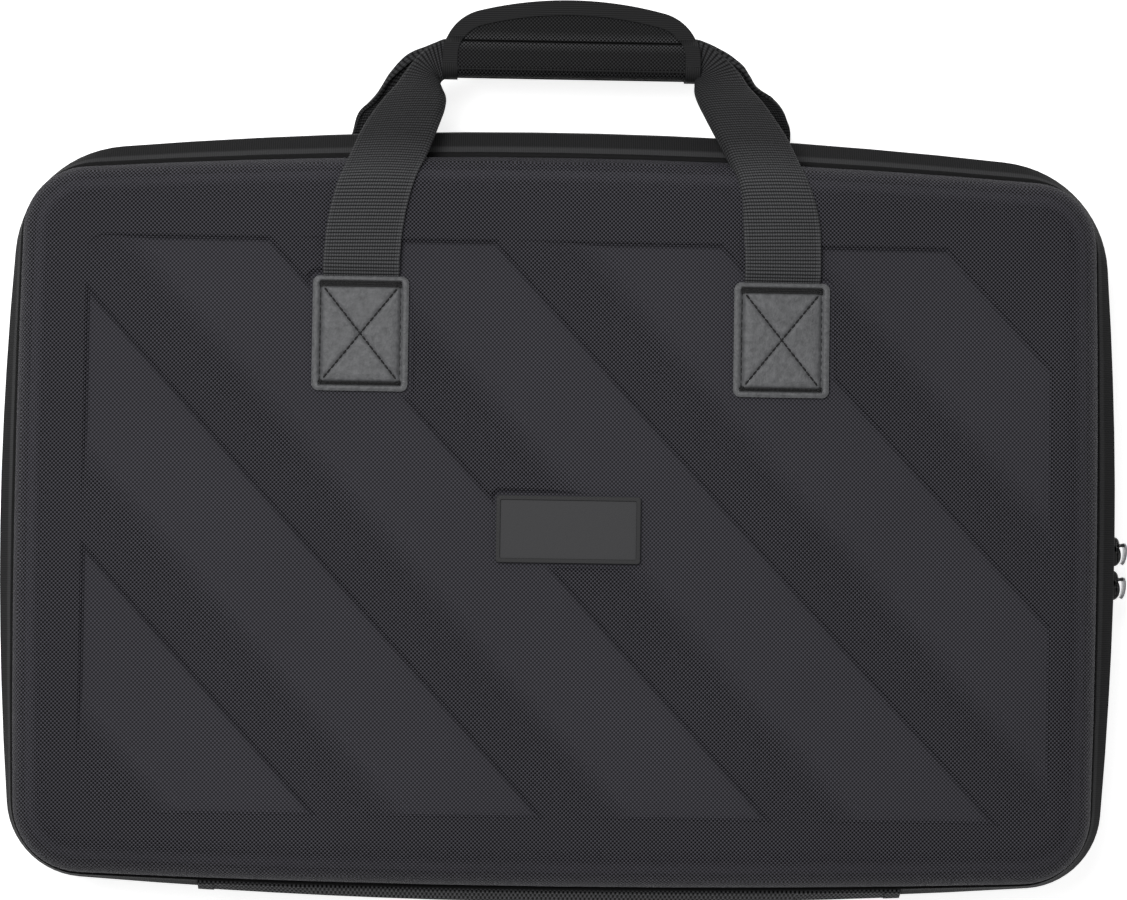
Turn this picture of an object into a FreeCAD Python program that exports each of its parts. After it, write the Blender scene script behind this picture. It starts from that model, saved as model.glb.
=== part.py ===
import FreeCAD, Part
import math
import os

# A moulded clamshell bag for a DJ controller, lying on its back. X runs along its length, Y from
# the fabric hinge towards the handles, and Z out of the front face. The pieces are drawn round the
# middle of the shells and then moved, so that the origin is below the middle of the whole bag, at
# the level on which it lies. All sizes are millimetres.

V = FreeCAD.Vector

# Moulded shells
SHELL_LENGTH = 549.0
SHELL_WIDTH = 370.0
BAG_DEPTH = 100.0
SHELL_END_RADIUS = 5600.0
SHELL_TOP_RADIUS = 3400.0
SHELL_HINGE_RADIUS = 6800.0
SHELL_TOP_CORNER = 34.0
SHELL_HINGE_CORNER = 36.0
SHELL_DRAFT = 3.0
EDGE_ROUND = 20.0
WALL = 6.0
LIP_HEIGHT = 17.0

# Rim, which stands out beyond the shells and bows between its corners
RIM_OUT_RIGHT = 14.0
RIM_OUT_TOP = 16.5
RIM_OUT_LEFT = 10.5
RIM_OUT_HINGE = 9.0
RIM_RIGHT_RADIUS = 1250.0
RIM_TOP_RADIUS = 2250.0
RIM_LEFT_RADIUS = 1200.0
RIM_HINGE_RADIUS = 2900.0
RIM_TOP_CORNER = 63.0
RIM_HINGE_CORNER = 42.0

# Zip tape, chain and binding round the rim
CHAIN_GAP = 1.5
CHAIN_WIDTH = 2.05
CHAIN_THICK = 2.8
CHAIN_INSET = 0.2
TAPE_WIDTH = 7.2
TAPE_THICK = 1.0
TAPE_INSET = 1.6
TAPE_LEAN = 0.14
BINDING_THICK = 0.8
BINDING_LAP = 2.0
BINDING_REACH = 0.1

# Fabric hinge and the tabs that cover its ends
HINGE_LENGTH = 340.5
HINGE_SHIFT = -0.8
HINGE_THICK = 1.4
HINGE_PLAY = 0.3
HINGE_AXIS_OUT = 0.2
HINGE_REACH = 0.16
TAB_LENGTH = 8.0
TAB_EXTRA = 0.4

# Moulded relief of the front face
PATTERN_X = 5.0
PATTERN_Y = -4.5
FRAME_SIDE = 34.1
FRAME_END = 43.0
WINDOW_CORNER = 8.0
WINDOW_DRAFT = 2.5
RELIEF_DEPTH = 2.5
PANEL_ANGLE = 48.6
PANEL_PITCH = 85.0
PANEL_WIDTH = 44.0
PANEL_STEP = 3.0
PANEL_SLOPE = 32.0
PAD_MARGIN = 1.5
PAD_CORNER = 4.0

# Leatherette patches and badge
PATCH_LENGTH = 57.5
PATCH_WIDTH = 48.0
PATCH_DROP = 45.5
PATCH_CORNER = 3.0
PATCH_COVER = 1.7
PATCH_EDGE = 0.7
BADGE_LENGTH = 72.2
BADGE_WIDTH = 33.4
BADGE_THICK = 1.8
BADGE_RIM = 2.0
BADGE_RIM_HEIGHT = 0.6
BADGE_CORNER = 1.5

# Webbing handles
WEB_WIDTH = 38.0
WEB_THICK = 1.8
WEB_FLAT_END = 12.0
WEB_END_INSET = 4.0
WEB_PLAY = 1.0
LEG_SPREAD = 40.1
WEB_SLOT_PLAY = 0.2
WEB_STATIONS = 2

# Padded grip round both handles
GRIP_LENGTH = 130.8
GRIP_SHIFT = -0.8
HAND_GAP = 26.3
GRIP_PAD = 3.0
GRIP_HEADROOM = 3.8
GRIP_FIN = 19.0
GRIP_TAPER = 3.7
GRIP_ROUND = 6.0
GRIP_TOP_RADIUS = 190.0
GRIP_TOP_CORNER = 24.0
GRIP_CORNER_SHARE = 0.95      # of the end's height that its round corner may take
BUNDLE_HEIGHT = 13.2
BUNDLE_THICK = 4.6
BUNDLE_PLAY = 0.4
BUNDLE_GAP = 1.2
BUNDLE_ENTRY_WIDTH = 17.0
GRIP_PARTING = 0.3
FASTENER_THICK = 1.2
FASTENER_MARGIN = 2.6
FASTENER_END = 16.4
GRIP_BINDING_WIDTH = 7.0
GRIP_BINDING_THICK = 0.8

# Zip sliders and pullers on the right side
SLIDER_LENGTH = 15.0
SLIDER_WIDTH = 9.0
SLIDER_PLATE = 1.6
SLIDER_PLAY = 0.3
SLIDER_UPPER_Y = -11.0
SLIDER_SPACING = 2.4
SLIDER_ROUND = 1.2
SLIDER_CLEAR = 0.3
BAIL_BAR = 1.0
BAIL_ROUND = 1.4
BAIL_WIDTH = 3.0
BAIL_LENGTH = 7.0
BAIL_RISE = 3.2
PULLER_WIRE = 1.6
PULLER_LENGTH = 11.5
PULLER_WIDTH = 9.6
PULLER_BOW = 3.6
PULLER_PLAY = 0.5

# Foam pads inside the shells
FOAM_THICK = 16.0
FOAM_PLAY = 0.3

# Worked out from the sizes above
HALF_DEPTH = BAG_DEPTH / 2
MID_Z = HALF_DEPTH + WEB_PLAY + WEB_THICK
TOP_Z = MID_Z + HALF_DEPTH
SHELL_ENDS = (SHELL_LENGTH / 2, SHELL_WIDTH / 2, SHELL_LENGTH / 2, SHELL_WIDTH / 2)
SHELL_RADII = (SHELL_END_RADIUS, SHELL_TOP_RADIUS, SHELL_END_RADIUS, SHELL_HINGE_RADIUS)
SHELL_CORNERS = (SHELL_TOP_CORNER, SHELL_TOP_CORNER, SHELL_HINGE_CORNER, SHELL_HINGE_CORNER)
RIM_OUTS = (RIM_OUT_RIGHT, RIM_OUT_TOP, RIM_OUT_LEFT, RIM_OUT_HINGE)
RIM_ENDS = tuple(end + out for end, out in zip(SHELL_ENDS, RIM_OUTS))
RIM_RADII = (RIM_RIGHT_RADIUS, RIM_TOP_RADIUS, RIM_LEFT_RADIUS, RIM_HINGE_RADIUS)
RIM_CORNERS = (RIM_TOP_CORNER, RIM_TOP_CORNER, RIM_HINGE_CORNER, RIM_HINGE_CORNER)
CHAIN_START = CHAIN_GAP / 2
CHAIN_END = CHAIN_START + CHAIN_WIDTH
TAPE_END = CHAIN_END + TAPE_WIDTH
LIP_INSET = TAPE_INSET + TAPE_THICK
TAPE_SHARE = 1.0 - TAPE_LEAN
BINDING_START = TAPE_END - BINDING_LAP
BINDING_SHARE = 1.0 - TAPE_LEAN * (BINDING_START - CHAIN_END) / TAPE_WIDTH
HINGE_Y = -(RIM_ENDS[3] - TAPE_INSET + HINGE_THICK + HINGE_AXIS_OUT)
HINGE_X = HINGE_SHIFT
HINGE_FIELD = HINGE_LENGTH + 2 * TAB_LENGTH
FLOOR_H = HALF_DEPTH - RELIEF_DEPTH
WINDOW_LENGTH = SHELL_LENGTH - 2 * FRAME_SIDE
WINDOW_WIDTH = SHELL_WIDTH - 2 * FRAME_END
PANEL_SPAN = (WINDOW_LENGTH * math.sin(math.radians(PANEL_ANGLE))
              + WINDOW_WIDTH * math.cos(math.radians(PANEL_ANGLE)))
PANEL_COUNT = 2 * round(PANEL_SPAN / PANEL_PITCH / 2)
PATCH_SPACING = GRIP_LENGTH + 2 * LEG_SPREAD
PATCH_Y = PATTERN_Y + WINDOW_WIDTH / 2 - PATCH_DROP
PATCH_TOP = PATCH_Y + PATCH_LENGTH / 2
HANDLE_X = PATTERN_X
GRIP_BOTTOM_Y = RIM_ENDS[1] + HAND_GAP
GRIP_X = HANDLE_X + GRIP_SHIFT
BUNDLE_HALF = BUNDLE_GAP / 2 + BUNDLE_THICK
WRAP_INNER = BUNDLE_HALF + BUNDLE_PLAY
BUNDLE_ROUND = GRIP_ROUND - GRIP_PAD
BUNDLE_Y = GRIP_BOTTOM_Y + GRIP_PAD + BUNDLE_PLAY + BUNDLE_HEIGHT / 2
GRIP_CREASE = GRIP_PAD + BUNDLE_PLAY + BUNDLE_HEIGHT + GRIP_HEADROOM
GRIP_HEIGHT = GRIP_CREASE + GRIP_FIN
BUNDLE_LEVEL = (BUNDLE_GAP + BUNDLE_THICK) / 2
WEB_FLAT = HALF_DEPTH + WEB_PLAY + WEB_THICK / 2
EDGE_Y = SHELL_WIDTH / 2 - SHELL_DRAFT - EDGE_ROUND
EDGE_LEVEL = HALF_DEPTH - EDGE_ROUND
WEB_LEAVE_Y = EDGE_Y - WEB_FLAT_END
SLIDER_POST = CHAIN_GAP - 2 * SLIDER_CLEAR
SLIDER_INNER_WIDTH = 2 * (CHAIN_END - SLIDER_CLEAR)
SLIDER_LOWER_Y = SLIDER_UPPER_Y - SLIDER_LENGTH - SLIDER_SPACING
BAIL_HEIGHT = PULLER_WIRE + 2 * PULLER_PLAY + BAIL_BAR

SIDES = (V(1, 0, 0), V(0, 1, 0), V(-1, 0, 0), V(0, -1, 0))


def between(first, second, share):
    """Values part of the way from one list to another."""
    return [a + (b - a) * share for a, b in zip(first, second)]


def unit(vector):
    """The vector at length one."""
    return vector * (1.0 / vector.Length)


def corner_centre(centre_a, reach_a, centre_b, reach_b, towards):
    """The point at two given distances from two side centres, on the corner's side."""
    span = centre_b - centre_a
    along = (reach_a ** 2 - reach_b ** 2 + span.Length ** 2) / (2 * span.Length)
    across = unit(V(-span.y, span.x, 0)) * math.sqrt(reach_a ** 2 - along ** 2)
    foot = centre_a + unit(span) * along
    return foot + across if across.dot(towards) > 0 else foot - across


def outline(height, share=0.0, inset=0.0, side=1):
    """A ring of four bowed sides and four tangent corners, from the shell's (share 0) to the
    rim's (share 1), at a height above or below the middle of the bag."""
    ends = [end - inset for end in between(SHELL_ENDS, RIM_ENDS, share)]
    radii = [radius - inset for radius in between(SHELL_RADII, RIM_RADII, share)]
    rounds = [radius - inset for radius in between(SHELL_CORNERS, RIM_CORNERS, share)]
    lift = V(0, 0, MID_Z + side * height)
    centres = [way * (end - radius) for way, end, radius in zip(SIDES, ends, radii)]
    corners = []
    for i in range(4):
        j = (i + 1) % 4
        centre = corner_centre(centres[i], radii[i] - rounds[i],
                               centres[j], radii[j] - rounds[i], SIDES[i] + SIDES[j])
        start = centres[i] + unit(centre - centres[i]) * radii[i]
        end = centres[j] + unit(centre - centres[j]) * radii[j]
        middle = centre + unit(start + end - centre * 2) * rounds[i]
        corners.append((start, middle, end))
    edges = []
    for i in range(4):
        j = (i + 1) % 4
        start, middle, end = corners[i]
        crown = SIDES[j] * ends[j]
        edges.append(Part.Arc(start + lift, middle + lift, end + lift).toShape())
        edges.append(Part.Arc(end + lift, crown + lift, corners[j][0] + lift).toShape())
    return Part.Wire(edges)


def loft(wires, ruled=True):
    """A solid through a row of closed outlines."""
    return Part.makeLoft(wires, True, ruled)


def level_edges(solid, height, side):
    """The edges that lie at one height above or below the middle of the bag."""
    level = MID_Z + side * height
    return [e for e in solid.Edges if all(abs(v.Z - level) < 1e-5 for v in e.Vertexes)]


def rounded_rectangle(length, width, corner, centre):
    """A flat outline with rounded corners, length along X and width along Y."""
    x, y = length / 2, width / 2
    edges = []
    for sx, sy, turn in ((1, 1, 0), (-1, 1, 90), (-1, -1, 180), (1, -1, 270)):
        middle = centre + V(sx * (x - corner), sy * (y - corner), 0)
        edges.append(Part.makeCircle(corner, middle, V(0, 0, 1), turn, turn + 90))
    points = []
    for edge in edges:
        points.append((edge.valueAt(edge.FirstParameter), edge.valueAt(edge.LastParameter)))
    joined = []
    for i, edge in enumerate(edges):
        joined.append(edge)
        joined.append(Part.makeLine(points[i][1], points[(i + 1) % 4][0]))
    return Part.Wire(joined)


def plate(length, width, corner, centre, thick):
    """A flat plate with rounded corners, thickness along Z."""
    face = Part.Face(rounded_rectangle(length, width, corner, centre))
    return face.extrude(V(0, 0, thick))


def box_between(low, high):
    """A box from its lowest to its highest corner."""
    size = high - low
    return Part.makeBox(size.x, size.y, size.z, low)


def hinge_zone(length, centre):
    """The stretch of the rim that the fabric hinge takes, as a box through both halves."""
    reach = max(RIM_OUT_HINGE, WALL) + SHELL_HINGE_CORNER
    return box_between(V(centre - length / 2, -RIM_ENDS[3] - reach, 0),
                       V(centre + length / 2, -RIM_ENDS[3] + reach, TOP_Z))


# Moulded foam shells

def shell_lip(side):
    """The outward lip that carries the zip tape and binding."""
    return loft([outline(CHAIN_END, 1.0, LIP_INSET, side),
                 outline(TAPE_END, TAPE_SHARE, LIP_INSET, side),
                 outline(LIP_HEIGHT, 0.0, 0.0, side)])


def inner_form(low, high, inset, side):
    """The drafted inside of a shell between two heights, sloped off at its edge."""
    slope = EDGE_ROUND - WALL
    bend = inset + SHELL_DRAFT * (high - slope) / EDGE_LEVEL
    return loft([outline(low, inset=inset + SHELL_DRAFT * low / EDGE_LEVEL, side=side),
                 outline(high - slope, inset=bend, side=side),
                 outline(high, inset=bend + slope, side=side)])


def plain_shell(side):
    """One moulded half: a drafted tray with a rounded edge and an outward lip."""
    tray = loft([outline(LIP_HEIGHT, side=side),
                 outline(HALF_DEPTH, inset=SHELL_DRAFT, side=side)])
    tray = tray.makeFillet(EDGE_ROUND, level_edges(tray, HALF_DEPTH, side))
    hollow = inner_form(0.0, HALF_DEPTH - WALL, WALL, side)
    return tray.fuse(shell_lip(side)).removeSplitter().cut(hollow)


def recess(length, width, corner, centre_x, centre_y, side):
    """A drafted flat recess in a face, as the solid to cut away."""
    floor = MID_Z + side * FLOOR_H
    grow = 2 * WINDOW_DRAFT
    low = rounded_rectangle(length, width, corner, V(centre_x, centre_y, floor))
    top = rounded_rectangle(length + 2 * grow, width + 2 * grow, corner + grow,
                            V(centre_x, centre_y, floor + side * 2 * RELIEF_DEPTH))
    return loft([low, top])


def panel_cutter(offset):
    """One diagonal panel: a flat floor, a steep upper wall and a long convex lower slope."""
    angle = math.radians(PANEL_ANGLE)
    run = V(math.cos(angle), -math.sin(angle), 0)
    across = V(math.sin(angle), math.cos(angle), 0)
    length = WINDOW_LENGTH + WINDOW_WIDTH
    origin = V(PATTERN_X, PATTERN_Y, MID_Z + HALF_DEPTH) + across * offset - run * (length / 2)

    def at(place, drop):
        return origin + across * place - V(0, 0, drop)

    crease = -PANEL_WIDTH / 2
    crest = crease - PANEL_SLOPE
    bend = (PANEL_SLOPE ** 2 + RELIEF_DEPTH ** 2) / (2 * RELIEF_DEPTH)
    half_drop = bend - math.sqrt(bend ** 2 - (PANEL_SLOPE / 2) ** 2)
    slope = Part.Arc(at(crest, 0), at(crest + PANEL_SLOPE / 2, half_drop),
                     at(crease, RELIEF_DEPTH)).toShape()
    over = RELIEF_DEPTH
    foot = PANEL_WIDTH / 2
    points = [at(crease, RELIEF_DEPTH), at(foot, RELIEF_DEPTH), at(foot + 2 * PANEL_STEP, -over),
              at(crest, -over), at(crest, 0)]
    lines = [Part.makeLine(a, b) for a, b in zip(points, points[1:])]
    return Part.Face(Part.Wire([slope] + lines)).extrude(run * length)


def patch_centres():
    """The X places of the left and right patch."""
    return (HANDLE_X - PATCH_SPACING / 2, HANDLE_X + PATCH_SPACING / 2)


def patch_recess(centre_x, side):
    """The flat pad that a patch is sewn to."""
    return recess(PATCH_WIDTH + 2 * PAD_MARGIN, PATCH_LENGTH + 2 * PAD_MARGIN,
                  PAD_CORNER, centre_x, PATCH_Y, side)


def front_shell():
    """The front half, with six diagonal panels and flat pads for patches and badge."""
    shell = plain_shell(1)
    window = recess(WINDOW_LENGTH, WINDOW_WIDTH, WINDOW_CORNER, PATTERN_X, PATTERN_Y, 1)
    for index in range(PANEL_COUNT):
        offset = (index - (PANEL_COUNT - 1) / 2) * PANEL_PITCH
        shell = shell.cut(panel_cutter(offset).common(window))
    shell = shell.cut(recess(BADGE_LENGTH + 2 * PAD_MARGIN, BADGE_WIDTH + 2 * PAD_MARGIN,
                             PAD_CORNER, PATTERN_X, PATTERN_Y, 1))
    for centre_x in patch_centres():
        shell = shell.cut(patch_recess(centre_x, 1))
    return shell


def rear_shell():
    """The rear half, plain but for the flat pads of its patches."""
    shell = plain_shell(-1)
    for centre_x in patch_centres():
        shell = shell.cut(patch_recess(centre_x, -1))
    return shell


def foam_pad(side):
    """The foam pad that lines one shell."""
    top = HALF_DEPTH - WALL - FOAM_PLAY
    return inner_form(top - FOAM_THICK, top, WALL + FOAM_PLAY, side)


# Zip and bindings round the rim

def zip_tape(side):
    """The woven tape on the lip, from the chain to under the binding."""
    outer = loft([outline(CHAIN_END, 1.0, TAPE_INSET, side),
                  outline(TAPE_END, TAPE_SHARE, TAPE_INSET, side)])
    inner = loft([outline(CHAIN_END, 1.0, LIP_INSET, side),
                  outline(TAPE_END, TAPE_SHARE, LIP_INSET, side)])
    return outer.cut(inner)


def zip_chain(side):
    """Half of the tooth row, which stops at both ends of the hinge."""
    outer = loft([outline(CHAIN_START, 1.0, CHAIN_INSET, side),
                  outline(CHAIN_END, 1.0, CHAIN_INSET, side)])
    inner = loft([outline(CHAIN_START, 1.0, CHAIN_INSET + CHAIN_THICK, side),
                  outline(CHAIN_END, 1.0, CHAIN_INSET + CHAIN_THICK, side)])
    return outer.cut(inner).cut(hinge_zone(HINGE_FIELD, HINGE_X))


def rim_cover(side, inset, top, end_share, end_inset):
    """The outside of what is laid over the tape and sloped up to the shell's wall."""
    return loft([outline(BINDING_START, BINDING_SHARE, inset, side),
                 outline(TAPE_END, TAPE_SHARE, inset, side),
                 outline(top, end_share, end_inset, side)])


def rim_core(side):
    """Tape, lip and wall together, to trim what lies over them."""
    tape = loft([outline(0.0, 1.0, TAPE_INSET, side),
                 outline(CHAIN_END, 1.0, TAPE_INSET, side),
                 outline(TAPE_END, TAPE_SHARE, TAPE_INSET, side)])
    wall = loft([outline(LIP_HEIGHT, side=side), outline(HALF_DEPTH, side=side)])
    return tape.fuse([shell_lip(side), wall])


def binding_cover(side):
    """The outside of the binding."""
    return rim_cover(side, TAPE_INSET - BINDING_THICK, LIP_HEIGHT, BINDING_REACH,
                     -BINDING_THICK / 2)


def rim_binding(side):
    """The folded tape that covers the edge of the zip tape and the lip."""
    return binding_cover(side).cut(rim_core(side))


def hinge_strip(side, length, centre, thick):
    """A stretch of webbing over one half of the rim at the hinge."""
    inset = TAPE_INSET - thick
    flat = loft([outline(HINGE_PLAY / 2, 1.0, inset, side),
                 outline(CHAIN_END, 1.0, inset, side),
                 outline(BINDING_START, BINDING_SHARE, inset, side)])
    slope = rim_cover(side, inset - BINDING_THICK, LIP_HEIGHT - BINDING_THICK,
                      HINGE_REACH, -BINDING_THICK / 2 - thick)
    strip = flat.fuse(slope).common(hinge_zone(length, centre))
    return strip.cut(rim_core(side).fuse(binding_cover(side)))


def hinge_band(side):
    """One half of the woven hinge, which folds along the middle of the rim."""
    return hinge_strip(side, HINGE_LENGTH, HINGE_X, HINGE_THICK)


def hinge_tabs(side):
    """The sewn squares that close the band's ends over the ends of the zip."""
    tabs = []
    for end in (-1, 1):
        centre = HINGE_X + end * (HINGE_LENGTH + TAB_LENGTH) / 2
        tabs.append(hinge_strip(side, TAB_LENGTH, centre, HINGE_THICK + TAB_EXTRA))
    return Part.makeCompound(tabs)


# Patches and badge

def patch(centre_x, side):
    """A leatherette patch over the end of a handle, with the channel that the webbing fills."""
    floor = MID_Z + side * FLOOR_H
    centre = V(centre_x, PATCH_Y, floor)
    thick = WEB_THICK + PATCH_COVER
    block = plate(PATCH_WIDTH, PATCH_LENGTH, PATCH_CORNER, centre, side * thick)
    block = block.makeChamfer(PATCH_EDGE, level_edges(block, FLOOR_H + thick, side))
    half = WEB_WIDTH / 2 + WEB_SLOT_PLAY
    ends = sorted((floor - side, floor + side * WEB_THICK))
    low = V(centre_x - half, centre.y - PATCH_LENGTH / 2 + WEB_END_INSET, ends[0])
    high = V(centre_x + half, centre.y + PATCH_LENGTH, ends[1])
    return block.cut(box_between(low, high))


def badge():
    """The bare rubber badge: a plate with a raised rim."""
    floor = MID_Z + FLOOR_H
    centre = V(PATTERN_X, PATTERN_Y, floor)
    base = plate(BADGE_LENGTH, BADGE_WIDTH, BADGE_CORNER, centre, BADGE_THICK)
    top = centre + V(0, 0, BADGE_THICK)
    rim = plate(BADGE_LENGTH, BADGE_WIDTH, BADGE_CORNER, top, BADGE_RIM_HEIGHT)
    inner = plate(BADGE_LENGTH - 2 * BADGE_RIM, BADGE_WIDTH - 2 * BADGE_RIM, BADGE_CORNER / 2,
                  top, BADGE_RIM_HEIGHT)
    return base.fuse(rim.cut(inner)).removeSplitter()


# Webbing handles. Each row of a leg gives the shares of its way across and up to the grip, the
# share of its narrowing, its turn in degrees, and how far it is gathered into the bundle.

FRONT_LEFT_LEG = ((0.00, 0.00, 0.00, 0, 0.0), (0.02, 0.08, 0.00, -3, 0.0),
                  (0.06, 0.16, 0.00, -5, 0.0), (0.12, 0.23, 0.00, -8, 0.0),
                  (0.23, 0.34, 0.01, -4, 0.0), (0.38, 0.48, 0.02, 2, 0.0),
                  (0.52, 0.67, 0.06, 11, 0.0), (0.69, 0.83, 0.74, -13, 0.4),
                  (0.85, 0.93, 1.00, -54, 0.8), (1.00, 1.00, 1.00, -90, 1.0))
FRONT_RIGHT_LEG = ((0.00, 0.00, 0.00, 0, 0.0), (0.01, 0.10, 0.01, 2, 0.0),
                   (0.03, 0.17, 0.02, 4, 0.0), (0.06, 0.23, 0.06, 5, 0.0),
                   (0.15, 0.33, 0.16, 9, 0.0), (0.26, 0.44, 0.28, 15, 0.0),
                   (0.52, 0.66, 0.46, 16, 0.0), (0.71, 0.81, 0.81, 21, 0.3),
                   (0.85, 0.93, 1.00, 52, 0.8), (1.00, 1.00, 1.00, 90, 1.0))
REAR_LEFT_LEG = ((0.00, 0.00, 0.00, 0, 0.0), (0.01, 0.09, 0.00, 0, 0.0),
                 (0.02, 0.16, 0.00, -1, 0.0), (0.05, 0.25, 0.01, -2, 0.0),
                 (0.11, 0.36, 0.01, -3, 0.0), (0.20, 0.49, 0.01, -7, 0.0),
                 (0.34, 0.65, 0.02, -9, 0.0), (0.60, 0.85, 0.57, -28, 0.4),
                 (0.80, 0.94, 0.91, -50, 0.8), (1.00, 1.00, 1.00, -90, 1.0))
REAR_RIGHT_LEG = ((0.00, 0.00, 0.00, 0, 0.0), (0.01, 0.09, 0.00, 0, 0.0),
                  (0.02, 0.16, 0.00, 2, 0.0), (0.06, 0.25, 0.00, 2, 0.0),
                  (0.13, 0.36, 0.01, 6, 0.0), (0.23, 0.50, 0.00, 15, 0.0),
                  (0.35, 0.66, 0.00, 17, 0.0), (0.61, 0.83, 0.51, 21, 0.4),
                  (0.81, 0.94, 0.88, 48, 0.8), (1.00, 1.00, 1.00, 90, 1.0))


def web_height(y):
    """How far out of the mid-plane the webbing lies: flat, round the edge, then straight."""
    reach = WEB_FLAT - EDGE_LEVEL
    run, fall = BUNDLE_Y - EDGE_Y, BUNDLE_LEVEL - EDGE_LEVEL
    leave = math.atan2(run, fall) - math.acos(reach / math.hypot(run, fall))
    leave_y = EDGE_Y + reach * math.sin(leave)
    if y <= EDGE_Y:
        return WEB_FLAT
    if y <= leave_y:
        return EDGE_LEVEL + math.sqrt(reach ** 2 - (y - EDGE_Y) ** 2)
    return EDGE_LEVEL + reach * math.cos(leave) - (y - leave_y) * math.tan(leave)


def web_foot(base_x, side):
    """The flat stretch from under the patch to where the webbing leaves the face."""
    start_y = PATCH_TOP - PATCH_LENGTH + WEB_END_INSET
    low = FLOOR_H + WEB_THICK / 2
    rows = ((start_y, low), (PATCH_TOP, low),
            (PATCH_TOP + PAD_MARGIN + WINDOW_DRAFT / 2, WEB_FLAT), (WEB_LEAVE_Y, WEB_FLAT))
    centres = [V(base_x - WEB_WIDTH / 2, y, MID_Z + side * h) for y, h in rows]
    lift = V(0, 0, WEB_THICK / 2)
    under = [point - lift for point in centres]
    over = [point + lift for point in reversed(centres)]
    face = Part.Face(Part.makePolygon(under + over + under[:1]))
    return face.extrude(V(WEB_WIDTH, 0, 0))


def web_section(left, right, thick, ahead):
    """One cross-section of webbing between its two edges."""
    lift = unit((right - left).cross(ahead)) * (thick / 2)
    corners = [left - lift, right - lift, right + lift, left + lift]
    return Part.makePolygon(corners + corners[:1])


def leg_edges(rows, base_x, end_x, side):
    """The points along a leg's left and right edge."""
    end_y = BUNDLE_Y + (BUNDLE_ENTRY_WIDTH - BUNDLE_HEIGHT) / 2
    lefts, rights = [], []
    for across, up, narrowing, turn, gathered in rows:
        middle = V(base_x + (end_x - base_x) * across,
                   WEB_LEAVE_Y + (end_y - WEB_LEAVE_Y) * up, 0)
        width = WEB_WIDTH + (BUNDLE_ENTRY_WIDTH - WEB_WIDTH) * narrowing
        angle = math.radians(turn)
        half = V(math.cos(angle), math.sin(angle), 0) * (width / 2)
        for edge, point in ((lefts, middle - half), (rights, middle + half)):
            level = web_height(point.y)
            level = level + (BUNDLE_LEVEL - level) * gathered
            edge.append(point + V(0, 0, MID_Z + side * level))
    return lefts, rights


def web_leg(rows, base_x, end_x, side):
    """The free stretch of webbing, which gathers and turns into the grip."""
    places = list(range(len(rows)))
    curves = []
    for points in leg_edges(rows, base_x, end_x, side):
        curve = Part.BSplineCurve()
        curve.interpolate(Points=points, Parameters=places)
        curves.append(curve)
    left_edge, right_edge = curves
    count = places[-1] * WEB_STATIONS
    wires = []
    for i in range(count + 1):
        place = i / WEB_STATIONS
        ahead = left_edge.tangent(place)[0] + right_edge.tangent(place)[0]
        if i == 0:
            ahead = V(0, 1, 0)
        if i == count:
            ahead = V(GRIP_X - end_x, 0, 0)
        row = min(int(place), len(rows) - 2)
        gathered = rows[row][4] + (rows[row + 1][4] - rows[row][4]) * (place - row)
        thick = WEB_THICK + (BUNDLE_THICK - WEB_THICK) * gathered
        wires.append(web_section(left_edge.value(place), right_edge.value(place), thick, ahead))
    return loft(wires)


def handle_strap(side):
    """One handle: two feet, two legs and the bundle that runs through the grip."""
    left_x, right_x = patch_centres()
    end_left = GRIP_X - GRIP_LENGTH / 2 - GRIP_BINDING_THICK - BUNDLE_PLAY
    end_right = GRIP_X + GRIP_LENGTH / 2 + GRIP_BINDING_THICK + BUNDLE_PLAY
    left_rows, right_rows = (FRONT_LEFT_LEG, FRONT_RIGHT_LEG)
    if side < 0:
        left_rows, right_rows = (REAR_LEFT_LEG, REAR_RIGHT_LEG)
    levels = sorted((side * BUNDLE_GAP / 2, side * BUNDLE_HALF))
    bar = box_between(V(end_left, BUNDLE_Y - BUNDLE_HEIGHT / 2, MID_Z + levels[0]),
                      V(end_right, BUNDLE_Y + BUNDLE_HEIGHT / 2, MID_Z + levels[1]))
    corner_z = MID_Z + side * BUNDLE_HALF
    edges = [e for e in bar.Edges
             if abs(e.Vertexes[0].Z - corner_z) < 1e-5 and abs(e.Vertexes[1].Z - corner_z) < 1e-5
             and abs(e.Vertexes[0].Y - e.Vertexes[1].Y) < 1e-5]
    bar = bar.makeFillet(BUNDLE_ROUND, edges)
    parts = [web_foot(left_x, side), web_foot(right_x, side),
             web_leg(left_rows, left_x, end_left, side),
             web_leg(right_rows, right_x, end_right, side)]
    return bar.fuse(parts)


# Padded grip, in two leaves that close round the handles with a hook and a loop strip

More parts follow.
